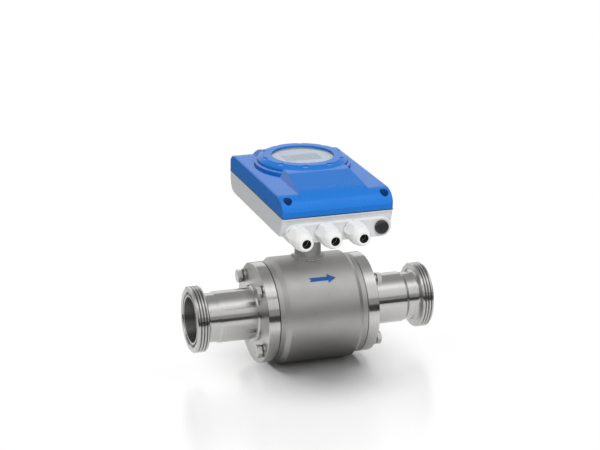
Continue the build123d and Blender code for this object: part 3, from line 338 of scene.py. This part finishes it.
def satin_metal(name, colour, roughness, axis="X"):
    """Steel with a fine blasted and brushed finish, slightly clouded and smudged from handling."""
    surface = Surface(name, colour, roughness, metallic=1.0)
    blast = surface.noise(0.35 * MM, detail=2.0)
    brush = surface.noise(0.6 * MM, detail=4.0, place=surface.round_place(axis))
    cloud = surface.noise(22.0 * MM, detail=4.0, distortion=0.4)
    smudge = surface.noise(9.0 * MM, detail=6.0)
    surface.tint(cloud, dimmed(colour, 0.95))
    surface.tint(smudge, dimmed(colour, 0.90), low=0.55, high=0.85)
    surface.rough(surface.mixed(cloud, brush, share=0.6), swing=0.05)
    surface.relief(blast, 0.012 * MM)
    surface.relief(brush, 0.003 * MM)
    return surface.finish(edge=0.4 * MM)


def plain_metal(name, colour, roughness):
    """Bright hardware with faint drawn scratches and a little clouding."""
    surface = Surface(name, colour, roughness, metallic=1.0)
    scratches = surface.noise(0.3 * MM, stretch=(1.0, 6.0, 1.0), distortion=0.6)
    cloud = surface.noise(12.0 * MM)
    surface.tint(cloud, dimmed(colour, 0.88))
    surface.rough(cloud, swing=0.05)
    surface.relief(scratches, 0.001 * MM)
    return surface.finish()


def wound_copper(name):
    """Enamelled wire in close rows, with painted shade in the gaps between them."""
    surface = Surface(name, (0.62, 0.24, 0.09), 0.28, metallic=1.0)
    rows = add_node(surface.tree, "ShaderNodeTexWave", {"bands_direction": "Z", "wave_profile": "SIN"},
                    Vector=surface.place, Scale=2600.0, Distortion=1.5, Detail=2.0, Detail_Scale=0.4)
    cloud = surface.noise(4.0 * MM, detail=4.0)
    # Painted shade: the gaps between the rows of wire are tinted darker.
    surface.tint(rows.outputs["Fac"], (0.30, 0.09, 0.03), low=0.0, high=0.5)
    surface.tint(cloud, (0.74, 0.34, 0.15))
    surface.rough(cloud, swing=0.08)
    surface.relief(rows.outputs["Fac"], 0.06 * MM)
    return surface.finish()


def weld_metal(name):
    """A weld bead: unevenly tinted by heat, with a fine crust."""
    surface = Surface(name, (0.42, 0.41, 0.40), 0.32, metallic=1.0)
    heat = surface.noise(4.0 * MM, detail=4.0, distortion=0.6)
    surface.tint(heat, (0.30, 0.28, 0.26), low=0.4, high=0.75)
    surface.rough(heat, swing=0.1)
    surface.relief(surface.noise(0.5 * MM), 0.04 * MM)
    return surface.finish()


# Plastics, paints and rubber
POCKET_MARGIN = 0.08 * MM


def screw_pockets(surface):
    """A value that is 1 within the pockets of the cover screws, in the head's own tilted frame, where
    painted shade goes.
    """
    tree = surface.tree
    lowered = add_node(tree, "ShaderNodeVectorMath", {"operation": "SUBTRACT"})
    tree.links.new(surface.place, lowered.inputs[0])
    lowered.inputs[1].default_value = (0.0, 0.0, HEAD_RISE)
    level = add_node(tree, "ShaderNodeVectorRotate", {"rotation_type": "X_AXIS"},
                     Vector=lowered.outputs["Vector"], Angle=-HEAD_TILT)
    parts = surface.split(level.outputs["Vector"])
    from_middle = calculate(tree, "SUBTRACT", parts["Y"], HEAD_MIDDLE_Y)
    side = calculate(tree, "ABSOLUTE", parts["X"])
    end = calculate(tree, "ABSOLUTE", from_middle)
    across = calculate(tree, "SUBTRACT", side, HEAD_HALF_W - SCREW_SIDE_INSET)
    along = calculate(tree, "SUBTRACT", end, HEAD_HALF_LENGTH - SCREW_END_INSET)
    return calculate(tree, "LESS_THAN", distance(tree, across, along), POCKET_R + POCKET_MARGIN)


def coated(name, colour, roughness, shade, peel=1.6 * MM, wear=0.05, pocket_painted_shade=None):
    """A baked coat with a fine orange-peel skin, clouded slightly deeper in tone, and with painted shade
    in the cover's screw pockets when that is given.
    """
    surface = Surface(name, colour, roughness)
    skin = surface.noise(peel)
    fleck = surface.noise(0.35 * MM, detail=2.0)
    cloud = surface.noise(40.0 * MM)
    surface.tint(cloud, shade)
    surface.tint(surface.edges(1.2 * MM), lightened(colour, wear), low=0.02, high=0.4)
    surface.rough(surface.mixed(skin, cloud), swing=0.05)
    # Painted shade: the screw pockets are tinted dark navy for the shade inside them.
    if pocket_painted_shade:
        surface.tint(screw_pockets(surface), pocket_painted_shade, low=0.4, high=0.6)
    surface.relief(skin, 0.005 * MM)
    surface.relief(fleck, 0.001 * MM)
    return surface.finish(edge=0.8 * MM)


def moulded(name, colour, roughness, shade, texture=0.5 * MM, depth=0.008 * MM, flow=20.0 * MM):
    """Moulded plastic: a fine tool texture, faint flow clouding, and edges rubbed a little lighter."""
    surface = Surface(name, colour, roughness)
    skin = surface.noise(texture)
    cloud = surface.noise(flow, detail=4.0, distortion=0.8)
    surface.tint(cloud, shade)
    surface.tint(surface.edges(0.5 * MM), lightened(colour, 0.08), low=0.03, high=0.5)
    surface.rough(cloud, swing=0.05)
    surface.relief(skin, depth)
    return surface.finish(edge=0.4 * MM)


def rubbery(name, colour, roughness=0.62, bloom_level=0.012, shine=0.5):
    """Moulded rubber with a dry bloom that gathers in patches."""
    surface = Surface(name, colour, roughness)
    skin = surface.noise(0.4 * MM)
    bloom = surface.noise(7.0 * MM, detail=5.0, distortion=0.5)
    bloom_colour = tuple(part * 1.5 + bloom_level for part in colour)
    surface.tint(bloom, bloom_colour, low=0.45, high=0.8)
    surface.rough(bloom, swing=0.08)
    surface.relief(skin, 0.02 * MM)
    surface.set(Specular_IOR_Level=shine)
    return surface.finish(edge=0.3 * MM)


def printed_board(name):
    """A circuit board: green mask over a grid of tracks, with pale pads."""
    surface = Surface(name, (0.015, 0.16, 0.055), 0.32)
    tracks = add_node(surface.tree, "ShaderNodeTexBrick", Vector=surface.place, Scale=180.0,
                      Mortar_Size=0.06, Color1=grey(0.0), Color2=grey(0.0), Mortar=grey(1.0))
    pads = add_node(surface.tree, "ShaderNodeTexVoronoi", {"distance": "CHEBYCHEV"},
                    Vector=surface.place, Scale=210.0)
    cloud = surface.noise(10.0 * MM)
    surface.tint(cloud, (0.01, 0.12, 0.045))
    surface.tint(tracks.outputs["Fac"], (0.03, 0.26, 0.09), low=0.4, high=0.6)
    surface.tint(pads.outputs["Distance"], (0.62, 0.60, 0.52), low=0.16, high=0.12)
    surface.rough(cloud, swing=0.08)
    surface.relief(tracks.outputs["Fac"], 0.04 * MM)
    return surface.finish()


def lead_cover(name):
    """Flexible lead sheath: matt plastic with a faint ripple from the strands under it."""
    surface = Surface(name, (0.03, 0.03, 0.033), 0.5)
    strands = add_node(surface.tree, "ShaderNodeTexWave", {"bands_direction": "DIAGONAL"},
                       Vector=surface.place, Scale=420.0, Distortion=2.0, Detail=2.0)
    dust = surface.noise(4.0 * MM, detail=4.0)
    surface.tint(dust, (0.09, 0.09, 0.095), low=0.5, high=0.85)
    surface.rough(dust, swing=0.08)
    surface.relief(strands.outputs["Fac"], 0.03 * MM)
    return surface.finish()


def clear_glass(name):
    """The window pane: clear glass that lets the light through to the display."""
    surface = Surface(name, (0.96, 0.98, 0.985), 0.03)
    surface.set(Transmission_Weight=1.0, IOR=1.38)
    wipe = surface.noise(12.0 * MM, detail=4.0, stretch=(3.0, 1.0, 1.0), distortion=0.8)
    surface.rough(wipe, swing=0.02)
    surface.relief(surface.noise(20.0 * MM, detail=2.0), 0.004 * MM)
    material = surface.finish()
    tree = surface.tree
    through = add_node(tree, "ShaderNodeBsdfTransparent", Color=rgba((0.93, 0.95, 0.95)))
    shadow_ray = add_node(tree, "ShaderNodeLightPath").outputs["Is Shadow Ray"]
    seen = mix_shaders(tree, shadow_ray, surface.shader.outputs["BSDF"], through.outputs["BSDF"])
    tree.links.new(seen, tree.nodes["Material Output"].inputs["Surface"])
    return material


BLUE = (0.002, 0.165, 0.600)
LIGHT_GREY = (0.69, 0.70, 0.71)
PIPE_STEEL = {"colour": (0.615, 0.610, 0.600), "roughness": 0.19, "stretch": 0.9, "bore": 34.0 * MM}

# A coated or moulded look is its colour, its roughness and the shade that it clouds to
looks = {
    "satin_steel": satin_metal("satin_steel", (0.49, 0.485, 0.475), 0.44),
    "turned_steel": turned_metal("turned_steel", **PIPE_STEEL),
    "bolt_steel": plain_metal("bolt_steel", (0.56, 0.55, 0.53), 0.26),
    "tube_steel": satin_metal("tube_steel", (0.33, 0.325, 0.32), 0.34, axis="Z"),
    "electrode_metal": turned_metal("electrode_metal", (0.60, 0.58, 0.55), 0.22, axis="Y"),
    "electrode_sleeves": moulded("electrode_sleeves", (0.80, 0.79, 0.74), 0.45, (0.74, 0.73, 0.67)),
    "liner_white": moulded("liner_white", (0.84, 0.84, 0.81), 0.38, (0.80, 0.80, 0.77),
                           texture=0.8 * MM),
    "coil_copper": wound_copper("coil_copper"),
    "soft_iron": satin_metal("soft_iron", (0.33, 0.32, 0.31), 0.5),
    "black_seal": rubbery("black_seal", (0.018, 0.018, 0.019)),
    "insert_rubber": rubbery("insert_rubber", (0.006, 0.006, 0.0065), 0.7, bloom_level=0.002,
                             shine=0.1),
    "grey_paint": coated("grey_paint", LIGHT_GREY, 0.38, (0.66, 0.67, 0.69)),
    # The blue cover carries painted shade in its screw pockets.
    "blue_paint": coated("blue_paint", BLUE, 0.30, (0.002, 0.159, 0.586), wear=0.012,
                         pocket_painted_shade=(0.001, 0.055, 0.24)),
    "window_glass": clear_glass("window_glass"),
    "display_plate": moulded("display_plate", (0.23, 0.28, 0.34), 0.5, (0.21, 0.26, 0.32)),
    "screen_plastic": moulded("screen_plastic", (0.09, 0.16, 0.24), 0.2, (0.08, 0.14, 0.22),
                              depth=0.002 * MM),
    "key_plastic": moulded("key_plastic", (0.10, 0.20, 0.42), 0.4, (0.08, 0.17, 0.38)),
    "switch_plastic": moulded("switch_plastic", (0.05, 0.05, 0.055), 0.45, (0.07, 0.07, 0.075)),
    "board_green": printed_board("board_green"),
    "carrier_plastic": moulded("carrier_plastic", (0.075, 0.078, 0.085), 0.5, (0.10, 0.10, 0.11)),
    "transformer_tape": moulded("transformer_tape", (0.72, 0.50, 0.06), 0.3, (0.60, 0.40, 0.05),
                                flow=6.0 * MM),
    "terminal_plastic": moulded("terminal_plastic", (0.05, 0.26, 0.12), 0.42, (0.04, 0.22, 0.10)),
    "lead_sheath": lead_cover("lead_sheath"),
    "gland_white": moulded("gland_white", (0.83, 0.83, 0.82), 0.26, (0.80, 0.80, 0.79),
                           texture=1.0 * MM),
    "plug_black": moulded("plug_black", (0.017, 0.017, 0.018), 0.36, (0.026, 0.026, 0.028)),
}

# The threaded ends carry painted shade in their grooves.
threaded_steel = turned_metal("threaded_steel", painted_root_shade=True, **PIPE_STEEL)
own_looks = {
    "inlet_threaded_end": threaded_steel,
    "outlet_threaded_end": threaded_steel,
    "flange_spring_washers": plain_metal("spring_steel", (0.15, 0.148, 0.145), 0.35),
}

for row in frame["record"]["subparts"]:
    shape = nodes[row["node"]]
    shape.data.materials.clear()
    shape.data.materials.append(own_looks.get(row["node"], looks[row["material_slot"]]))


# Mesh helpers
def mesh_object(name, vertices, faces, material, smooth=False):
    mesh = bpy.data.meshes.new(name)
    mesh.from_pydata(vertices, [], faces)
    mesh.materials.append(material)
    for face in mesh.polygons:
        face.use_smooth = smooth
    made = bpy.data.objects.new(name, mesh)
    bpy.context.scene.collection.objects.link(made)
    return made


def new_piece(name, vertices, faces, look, body, smooth=False):
    piece = mesh_object(name, vertices, faces, look, smooth)
    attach(piece, body)


def loop_faces(rings, corners):
    """Faces between rings of points that follow each other and meet again at the first."""
    faces = []
    for ring in range(rings):
        here = ring * corners
        ahead = (ring + 1) % rings * corners
        for corner in range(corners):
            beside = (corner + 1) % corners
            faces.append((here + corner, ahead + corner, ahead + beside, here + beside))
    return faces


def strip_faces(steps):
    """Faces between two rows of steps + 1 points."""
    return [(step, step + 1, steps + 2 + step, steps + 1 + step) for step in range(steps)]


def head_point(x, y, z):
    """A point of the converter head's own tilted frame, in the part's frame."""
    return Matrix.Translation((0, 0, HEAD_RISE)) @ Matrix.Rotation(HEAD_TILT, 4, "X") @ Vector((x, y, z))


# Flow arrow on the front of the sensor body
ARROW_TAIL_X = -17.0 * MM
ARROW_TIP_X = 23.2 * MM
ARROW_HEAD_LENGTH = 12.6 * MM
ARROW_NECK_X = ARROW_TIP_X - ARROW_HEAD_LENGTH
ARROW_SHOULDER = 0.001 * MM
ARROW_NOTCH = 2.5 * MM
ARROW_SHAFT_HALF = 3.2 * MM
ARROW_HEAD_HALF = 7.4 * MM
ARROW_TIP_HALF = 0.05 * MM
ARROW_ANGLE = radians(46.2)
ARROW_FILM = 0.12 * MM
ARROW_SHAFT_STEPS = 12
ARROW_HEAD_STEPS = 8
ARROW_ROWS = 8
arrow_paint = coated("arrow_blue", (0.005, 0.155, 0.56), 0.4, (0.004, 0.145, 0.53), peel=1.0 * MM)


def arrow_half_width(x):
    if x <= ARROW_NECK_X:
        return ARROW_SHAFT_HALF
    return max(ARROW_HEAD_HALF * (ARROW_TIP_X - x) / ARROW_HEAD_LENGTH, ARROW_TIP_HALF)


def flow_arrow():
    """A thin film bent round the body, with its tail notched."""
    shaft = [ARROW_TAIL_X + (ARROW_NECK_X - ARROW_TAIL_X) * step / ARROW_SHAFT_STEPS
             for step in range(ARROW_SHAFT_STEPS + 1)]
    head = [ARROW_NECK_X + ARROW_HEAD_LENGTH * step / ARROW_HEAD_STEPS
            for step in range(1, ARROW_HEAD_STEPS + 1)]
    stations = shaft + [ARROW_NECK_X + ARROW_SHOULDER] + head
    vertices, faces = [], []
    for level in (HOUSING_R, HOUSING_R + ARROW_FILM):
        for x in stations:
            for row in range(ARROW_ROWS + 1):
                across = -1.0 + 2.0 * row / ARROW_ROWS
                angle = ARROW_ANGLE + across * arrow_half_width(x) / HOUSING_R
                notch = ARROW_NOTCH * (1.0 - abs(across)) if x == ARROW_TAIL_X else 0.0
                vertices.append((x + notch, -level * cos(angle), level * sin(angle)))
    width = ARROW_ROWS + 1
    top = len(stations) * width
    last = top - width
    for start in range(0, last, width):
        for low in range(start, start + ARROW_ROWS):
            faces.append((top + low, top + low + 1, top + low + width + 1, top + low + width))
            faces.append((low, low + width, low + width + 1, low + 1))
    for start in range(0, last, width):
        for low in (start, start + ARROW_ROWS):
            faces.append((low, low + width, top + low + width, top + low))
    for row in range(ARROW_ROWS):
        for low in (row, last + row):
            faces.append((low, low + 1, top + low + 1, top + low))
    new_piece("flow_arrow", vertices, faces, arrow_paint, "meter")


flow_arrow()

# Figures on the display: four zeros with a point in their middle, over a row of ticks
DIGIT_H = 13.0 * MM
DIGIT_W = 7.0 * MM
DIGIT_GAP = 3.4 * MM
DIGIT_COUNT = 4
POINT_BEFORE = 2
STROKE = 1.5 * MM
SCREEN_Y = 26.0 * MM
SCREEN_TOP = 34.6 * MM
DIGITS_RISE = 3.0 * MM
INK = 0.12 * MM
TICKS_DROP = 11.0 * MM
TICKS_EACH_SIDE = 10
TICK_PITCH = 2.2 * MM
TICK_HALF_W = 0.3 * MM
TICK_H = 1.6 * MM
LONG_TICK_H = 3.0 * MM
LONG_TICK_EVERY = 5
BAR_FACES = ((3, 2, 1, 0), (4, 5, 6, 7), (0, 1, 5, 4), (1, 2, 6, 5), (2, 3, 7, 6), (3, 0, 4, 7))


def zero_bars():
    """The low and high corners of the six bars of a zero, from its lower left."""
    below, above = DIGIT_H / 2 - STROKE / 4, DIGIT_H / 2 + STROKE / 4
    bottom, top = STROKE / 4, DIGIT_H - STROKE / 4
    inner_left, inner_right = STROKE, DIGIT_W - STROKE
    return (
        (inner_left, DIGIT_H - STROKE, inner_right, DIGIT_H),
        (inner_right, above, DIGIT_W, top),
        (inner_right, bottom, DIGIT_W, below),
        (inner_left, 0.0, inner_right, STROKE),
        (0.0, bottom, inner_left, below),
        (0.0, above, inner_left, top),
    )


def display_figures():
    vertices, faces = [], []

    def bar(x0, y0, x1, y1):
        start = len(vertices)
        for z in (SCREEN_TOP, SCREEN_TOP + INK):
            for x, y in ((x0, y0), (x1, y0), (x1, y1), (x0, y1)):
                vertices.append(head_point(x, y, z))
        faces.extend(tuple(start + corner for corner in face) for face in BAR_FACES)

    step = DIGIT_W + DIGIT_GAP
    first_left = -DIGIT_COUNT * step / 2 + DIGIT_GAP / 2
    low = SCREEN_Y - DIGIT_H / 2 + DIGITS_RISE
    for place in range(DIGIT_COUNT):
        left = first_left + place * step
        if place == POINT_BEFORE:
            point_x = left - DIGIT_GAP / 2
            bar(point_x - STROKE / 2, low, point_x + STROKE / 2, low + STROKE)
        for x0, y0, x1, y1 in zero_bars():
            bar(left + x0, low + y0, left + x1, low + y1)
    ticks_y = SCREEN_Y - TICKS_DROP
    for tick in range(-TICKS_EACH_SIDE, TICKS_EACH_SIDE + 1):
        x = tick * TICK_PITCH
        height = LONG_TICK_H if tick % LONG_TICK_EVERY == 0 else TICK_H
        bar(x - TICK_HALF_W, ticks_y, x + TICK_HALF_W, ticks_y + height)
    ink = moulded("display_ink", (0.035, 0.045, 0.045), 0.4, (0.045, 0.055, 0.055), depth=0.001 * MM)
    new_piece("display_figures", vertices, faces, ink, "meter")


display_figures()

# Black liners inside the tips of the cable glands, flared over the cone inside the nut
GLAND_X = (-61.5 * MM, -20.5 * MM, 20.5 * MM)
GLAND_Z = -22.0 * MM
GLAND_TIP_Y = -173.5 * MM
LINER_RECESS = 0.5 * MM
LINER_LENGTH = 9.8 * MM
LINER_OUT_R = 6.35 * MM
LINER_BORE_R = 5.9 * MM
LINER_CHAMFER = 0.15 * MM
LINER_STEPS = 64
FLARE_LENGTH = 5.7 * MM
FLARE_OUT_R = 9.0 * MM
FLARE_WALL = 0.4 * MM


def tip_liner(number, x):
    front = GLAND_TIP_Y + LINER_RECESS
    back = front + LINER_LENGTH
    end = back + FLARE_LENGTH
    outline = [
        (front, LINER_OUT_R),
        (front, LINER_BORE_R + LINER_CHAMFER),
        (front + LINER_CHAMFER, LINER_BORE_R),
        (back, LINER_BORE_R),
        (end, FLARE_OUT_R - FLARE_WALL),
        (end, FLARE_OUT_R),
        (back, LINER_OUT_R),
    ]
    vertices = []
    for step in range(LINER_STEPS):
        angle = 2 * pi * step / LINER_STEPS
        for y, radius in outline:
            vertices.append(head_point(x + radius * cos(angle), y, GLAND_Z + radius * sin(angle)))
    faces = loop_faces(LINER_STEPS, len(outline))
    new_piece(f"gland_tip_liner_{number}", vertices, faces, looks["insert_rubber"],
              f"gland_{number}_nut")


for number, x in enumerate(GLAND_X, 1):
    tip_liner(number, x)

# Squeezed edge of the seal between the base and the cover
SEAL_MIDDLE_Z = 0.4 * MM
SEAL_BEAD_HALF_H = 0.62 * MM
SEAL_BEAD_OUT = 0.35 * MM
SEAL_CORNER_STEPS = 8
SEAL_BEAD_STEPS = 10
CORNER_SIDES = ((1, 1), (-1, 1), (-1, -1), (1, -1))


def seal_edge():
    """A rounded bead that follows the head's outline, corner by corner."""
    vertices = []
    for quarter, (side_x, side_y) in enumerate(CORNER_SIDES):
        centre = Vector((side_x * (HEAD_HALF_W - HEAD_CORNER_R),
                         HEAD_MIDDLE_Y + side_y * (HEAD_HALF_LENGTH - HEAD_CORNER_R), 0))
        for corner_step in range(SEAL_CORNER_STEPS + 1):
            angle = pi / 2 * (quarter + corner_step / SEAL_CORNER_STEPS)
            out = Vector((cos(angle), sin(angle), 0))
            for bead_step in range(SEAL_BEAD_STEPS):
                turn = 2 * pi * bead_step / SEAL_BEAD_STEPS
                point = centre + out * (HEAD_CORNER_R + SEAL_BEAD_OUT * cos(turn))
                height = SEAL_MIDDLE_Z + SEAL_BEAD_HALF_H * sin(turn)
                vertices.append(head_point(point.x, point.y, height))
    faces = loop_faces(len(CORNER_SIDES) * (SEAL_CORNER_STEPS + 1), SEAL_BEAD_STEPS)
    new_piece("cover_seal_edge", vertices, faces, looks["black_seal"], "meter",
              smooth=True)


seal_edge()

# Weld bead where the neck meets the sensor body
BEAD_R = 22.4 * MM
BEAD_THICK = 1.5 * MM
BEAD_STEPS = 368
BEAD_RING_STEPS = 10
BEAD_RIPPLES = 46
BEAD_RIPPLE_OUT = 0.15 * MM
BEAD_RIPPLE_SWELL = 0.16
BEAD_UNEVEN = 0.8
BEAD_UNEVEN_WAVES = 5
BEAD_WANDER = 0.35 * MM
BEAD_WANDER_WAVES = 7
BEAD_WANDER_START = 1.0
BEAD_SLOW_SWELL = 0.14
BEAD_SWELL_WAVES = 3


def weld_bead():
    """A ring of metal that ripples as it goes round, and wanders and swells a little."""
    vertices = []
    for step in range(BEAD_STEPS):
        angle = 2 * pi * step / BEAD_STEPS
        wave = sin(BEAD_RIPPLES * angle + BEAD_UNEVEN * sin(BEAD_UNEVEN_WAVES * angle))
        wander = BEAD_WANDER * sin(BEAD_WANDER_WAVES * angle + BEAD_WANDER_START)
        swell = BEAD_RIPPLE_SWELL * wave + BEAD_SLOW_SWELL * sin(BEAD_SWELL_WAVES * angle)
        radius = BEAD_R + wander + BEAD_RIPPLE_OUT * wave
        thick = BEAD_THICK * (1.0 + swell)
        out = Vector((cos(angle), sin(angle), 0.0))
        body_z = sqrt(HOUSING_R ** 2 - (radius * sin(angle)) ** 2)
        for ring_step in range(BEAD_RING_STEPS):
            turn = 2 * pi * ring_step / BEAD_RING_STEPS
            point = out * (radius + thick * cos(turn))
            vertices.append((point.x, point.y, body_z + thick * sin(turn)))
    faces = loop_faces(BEAD_STEPS, BEAD_RING_STEPS)
    new_piece("neck_weld_bead", vertices, faces, weld_metal("weld_steel"), "meter",
              smooth=True)


weld_bead()

# Studio: a pale table, soft light from above and cards that only the reflections show
FLOOR_Z = cad_box[0][2]
FLOOR_HALF = 40.0
TABLE_LEVEL = 0.95
TABLE_ROUGHNESS = 0.2
TABLE_EDGE = 0.56
PAST_EDGE_DARKNESS = 0.9
# Painted shadow under the object, which only reflections of the table show
UNDER_PAINTED_SHADOW = 0.5
UNDER_NEAR_Y = 0.05
UNDER_FAR_Y = 0.22
UNDER_NEAR_X = 0.06
UNDER_FAR_X = 0.10
UNDER_PIPE_SHARE = 0.25

BAND_R = 4.0
BAND_SWEEP = 105
BAND_STEPS = 96
DARK_BAND_LEVEL = 0.06
DARK_BAND_TOP = radians(5)
GREY_BAND_LEVEL = 0.38
GREY_BAND_TOP = radians(21)

TENT_R = 3.0
TENT_HALF_X = 4.0
TENT_STEPS = 48
# Degrees round from straight ahead, and the light that the tent gives there
TENT_LIGHT = (
    (20, 0.75), (34, 0.90), (50, 0.98), (64, 1.40),
    (74, 1.15), (86, 0.62), (100, 0.42), (144, 0.40),
)

KEY_STRENGTH = 2.5
KEY_SPREAD = radians(45)
KEY_TOWARD = (-0.1, -0.75, 1.0)
TABLE_LIGHT_STRENGTH = 2.25
TABLE_LIGHT_SPREAD = radians(36)
TABLE_LIGHT_TOWARD = (-0.02, -0.03, 1.0)
AMBIENT_LEVEL = 0.36

# The table shows the shadow of the body and the head, and not of these
WITHOUT_TABLE_SHADOW = (
    "inlet_adapter", "outlet_adapter", "inlet_threaded_end", "outlet_threaded_end",
    "flange_bolts", "flange_plain_washers", "flange_spring_washers",
)


def stage_sheet(name, vertices, faces, material):
    sheet = mesh_object(name, vertices, faces, material)
    return sheet


def floor():
    """A white polished table which, as the object mirrors it, has a painted shadow under the object and
    is dark past the table's edge.
    """
    material = bpy.data.materials.new("floor_white")
    material.use_nodes = True
    tree = material.node_tree
    shader = tree.nodes["Principled BSDF"]
    shader.inputs["Base Color"].default_value = grey(TABLE_LEVEL)
    shader.inputs["Roughness"].default_value = TABLE_ROUGHNESS
    place = add_node(tree, "ShaderNodeTexCoord").outputs["Object"]
    parts = add_node(tree, "ShaderNodeSeparateXYZ", Vector=place).outputs
    past_edge = calculate(tree, "GREATER_THAN", distance(tree, parts["X"], parts["Y"]), TABLE_EDGE)
    under_body = add_node(tree, "ShaderNodeMapRange", Value=calculate(tree, "ABSOLUTE", parts["Y"]),
                          From_Min=UNDER_NEAR_Y, From_Max=UNDER_FAR_Y, To_Min=UNDER_PAINTED_SHADOW, To_Max=0.0)
    under_middle = add_node(tree, "ShaderNodeMapRange", Value=calculate(tree, "ABSOLUTE", parts["X"]),
                            From_Min=UNDER_NEAR_X, From_Max=UNDER_FAR_X,
                            To_Min=1.0, To_Max=UNDER_PIPE_SHARE)
    under = calculate(tree, "MULTIPLY", under_body.outputs["Result"], under_middle.outputs["Result"])
    beyond = calculate(tree, "MULTIPLY", past_edge, PAST_EDGE_DARKNESS)
    darkness = calculate(tree, "MAXIMUM", under, beyond)
    # Painted shadow: glossy rays see the table darker under the object and dark past its edge.
    reflected = add_node(tree, "ShaderNodeLightPath").outputs["Is Glossy Ray"]
    black = add_node(tree, "ShaderNodeEmission", Color=grey(0.0), Strength=0.0)
    seen = mix_shaders(tree, calculate(tree, "MULTIPLY", darkness, reflected),
                       shader.outputs["BSDF"], black.outputs["Emission"])
    tree.links.new(seen, tree.nodes["Material Output"].inputs["Surface"])
    material.cycles.emission_sampling = "NONE"
    corners = [(side_x * FLOOR_HALF, side_y * FLOOR_HALF, FLOOR_Z)
               for side_x, side_y in ((-1, -1), (1, -1), (1, 1), (-1, 1))]
    return stage_sheet("floor", corners, [(0, 1, 2, 3)], material)


def card_material(name, level):
    material = bpy.data.materials.new(name)
    material.use_nodes = True
    tree = material.node_tree
    tree.nodes.clear()
    glow = add_node(tree, "ShaderNodeEmission", Color=grey(level), Strength=1.0)
    output = tree.nodes.new("ShaderNodeOutputMaterial")
    tree.links.new(glow.outputs["Emission"], output.inputs["Surface"])
    material.cycles.emission_sampling = "NONE"
    return material


def reflection_card(name, vertices, faces, material):
    """A sheet that only reflections show."""
    sheet = stage_sheet(name, vertices, faces, material)
    sheet.visible_camera = False
    sheet.visible_diffuse = False
    sheet.visible_shadow = False
    sheet.visible_transmission = False


def band_card(name, level, low_z, high_z):
    """An upright band bent round the object, as far to each side of straight ahead as its sweep."""
    vertices = []
    for z in (low_z, high_z):
        for step in range(BAND_STEPS + 1):
            angle = radians(-90 - BAND_SWEEP + 2 * BAND_SWEEP * step / BAND_STEPS)
            vertices.append((BAND_R * cos(angle), BAND_R * sin(angle), z))
    reflection_card(name, vertices, strip_faces(BAND_STEPS), card_material(name, level))


def tent_card():
    """A tent over the object whose light changes with the angle: 0 is straight ahead, 90 overhead."""
    material = card_material("tent_light", 1.0)
    tree = material.node_tree
    place = add_node(tree, "ShaderNodeTexCoord").outputs["Object"]
    parts = add_node(tree, "ShaderNodeSeparateXYZ", Vector=place).outputs
    ahead = calculate(tree, "MULTIPLY", parts["Y"], -1.0)
    angle = calculate(tree, "ARCTAN2", parts["Z"], ahead)
    ramp = add_node(tree, "ShaderNodeValToRGB", Fac=calculate(tree, "DIVIDE", angle, pi))
    stops = ramp.color_ramp.elements
    while len(stops) < len(TENT_LIGHT):
        stops.new(0.5)
    for stop, (degrees, level) in zip(stops, TENT_LIGHT):
        stop.position = degrees / 180
        stop.color = grey(level)
    tree.links.new(ramp.outputs["Color"], tree.nodes["Emission"].inputs["Color"])
    first, last = TENT_LIGHT[0][0], TENT_LIGHT[-1][0]
    vertices = []
    for x in (-TENT_HALF_X, TENT_HALF_X):
        for step in range(TENT_STEPS + 1):
            turn = radians(first + (last - first) * step / TENT_STEPS)
            vertices.append((x, -TENT_R * cos(turn), TENT_R * sin(turn)))
    reflection_card("tent", vertices, strip_faces(TENT_STEPS), material)


def soft_lamp(name, strength, spread, toward, table, table_state):
    """Distant soft light from a direction, for the table alone or for all but the table.

    Its own shape is left out of the reflections, which the cards make.
    """
    light = bpy.data.lights.new(name, "SUN")
    light.energy = strength
    light.angle = spread
    lamp = bpy.data.objects.new(name, light)
    lamp.rotation_euler = Vector(toward).to_track_quat("Z", "Y").to_euler()
    lamp.visible_glossy = False
    bpy.context.scene.collection.objects.link(lamp)
    lit = bpy.data.collections.new(name + "_receivers")
    lit.objects.link(table)
    lit.collection_objects[0].light_linking.link_state = table_state
    lamp.light_linking.receiver_collection = lit
    return lamp


def pass_without_shadow(lamp, names):
    """Lets a lamp's light through the named nodes."""
    passed = bpy.data.collections.new(lamp.name + "_passes")
    for name in names:
        passed.objects.link(nodes[name])
    for entry in passed.collection_objects:
        entry.light_linking.link_state = "EXCLUDE"
    lamp.light_linking.blocker_collection = passed


def light_world():
    """Even pale light, which looks white to the camera, in reflections and through glass."""
    world = bpy.data.worlds.new("studio")
    bpy.context.scene.world = world
    world.use_nodes = True
    tree = world.node_tree
    tree.nodes.clear()
    path = add_node(tree, "ShaderNodeLightPath").outputs
    seen = calculate(tree, "MAXIMUM", path["Is Camera Ray"], path["Is Glossy Ray"])
    seen = calculate(tree, "MAXIMUM", seen, path["Is Transmission Ray"])
    ambient = add_node(tree, "ShaderNodeBackground", Color=grey(AMBIENT_LEVEL), Strength=1.0)
    backdrop = add_node(tree, "ShaderNodeBackground", Color=grey(1.0), Strength=1.0)
    both = mix_shaders(tree, seen, ambient.outputs["Background"], backdrop.outputs["Background"])
    output = tree.nodes.new("ShaderNodeOutputWorld")
    tree.links.new(both, output.inputs["Surface"])


def studio():
    dark_top = BAND_R * tan(DARK_BAND_TOP)
    grey_top = BAND_R * tan(GREY_BAND_TOP)
    band_card("dark_band", DARK_BAND_LEVEL, FLOOR_Z, dark_top)
    band_card("grey_band", GREY_BAND_LEVEL, dark_top, grey_top)
    tent_card()
    table = floor()
    soft_lamp("key", KEY_STRENGTH, KEY_SPREAD, KEY_TOWARD, table, "EXCLUDE")
    table_light = soft_lamp("table_light", TABLE_LIGHT_STRENGTH, TABLE_LIGHT_SPREAD, TABLE_LIGHT_TOWARD,
                            table, "INCLUDE")
    pass_without_shadow(table_light, WITHOUT_TABLE_SHADOW)
    light_world()
    bpy.context.scene.view_settings.view_transform = "Standard"


studio()

# The steel mirrors the studio and the sensor, and not the head above it
for name, shape in nodes.items():
    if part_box(name)[0][2] > HEAD_BOTTOM:
        shape.visible_glossy = False
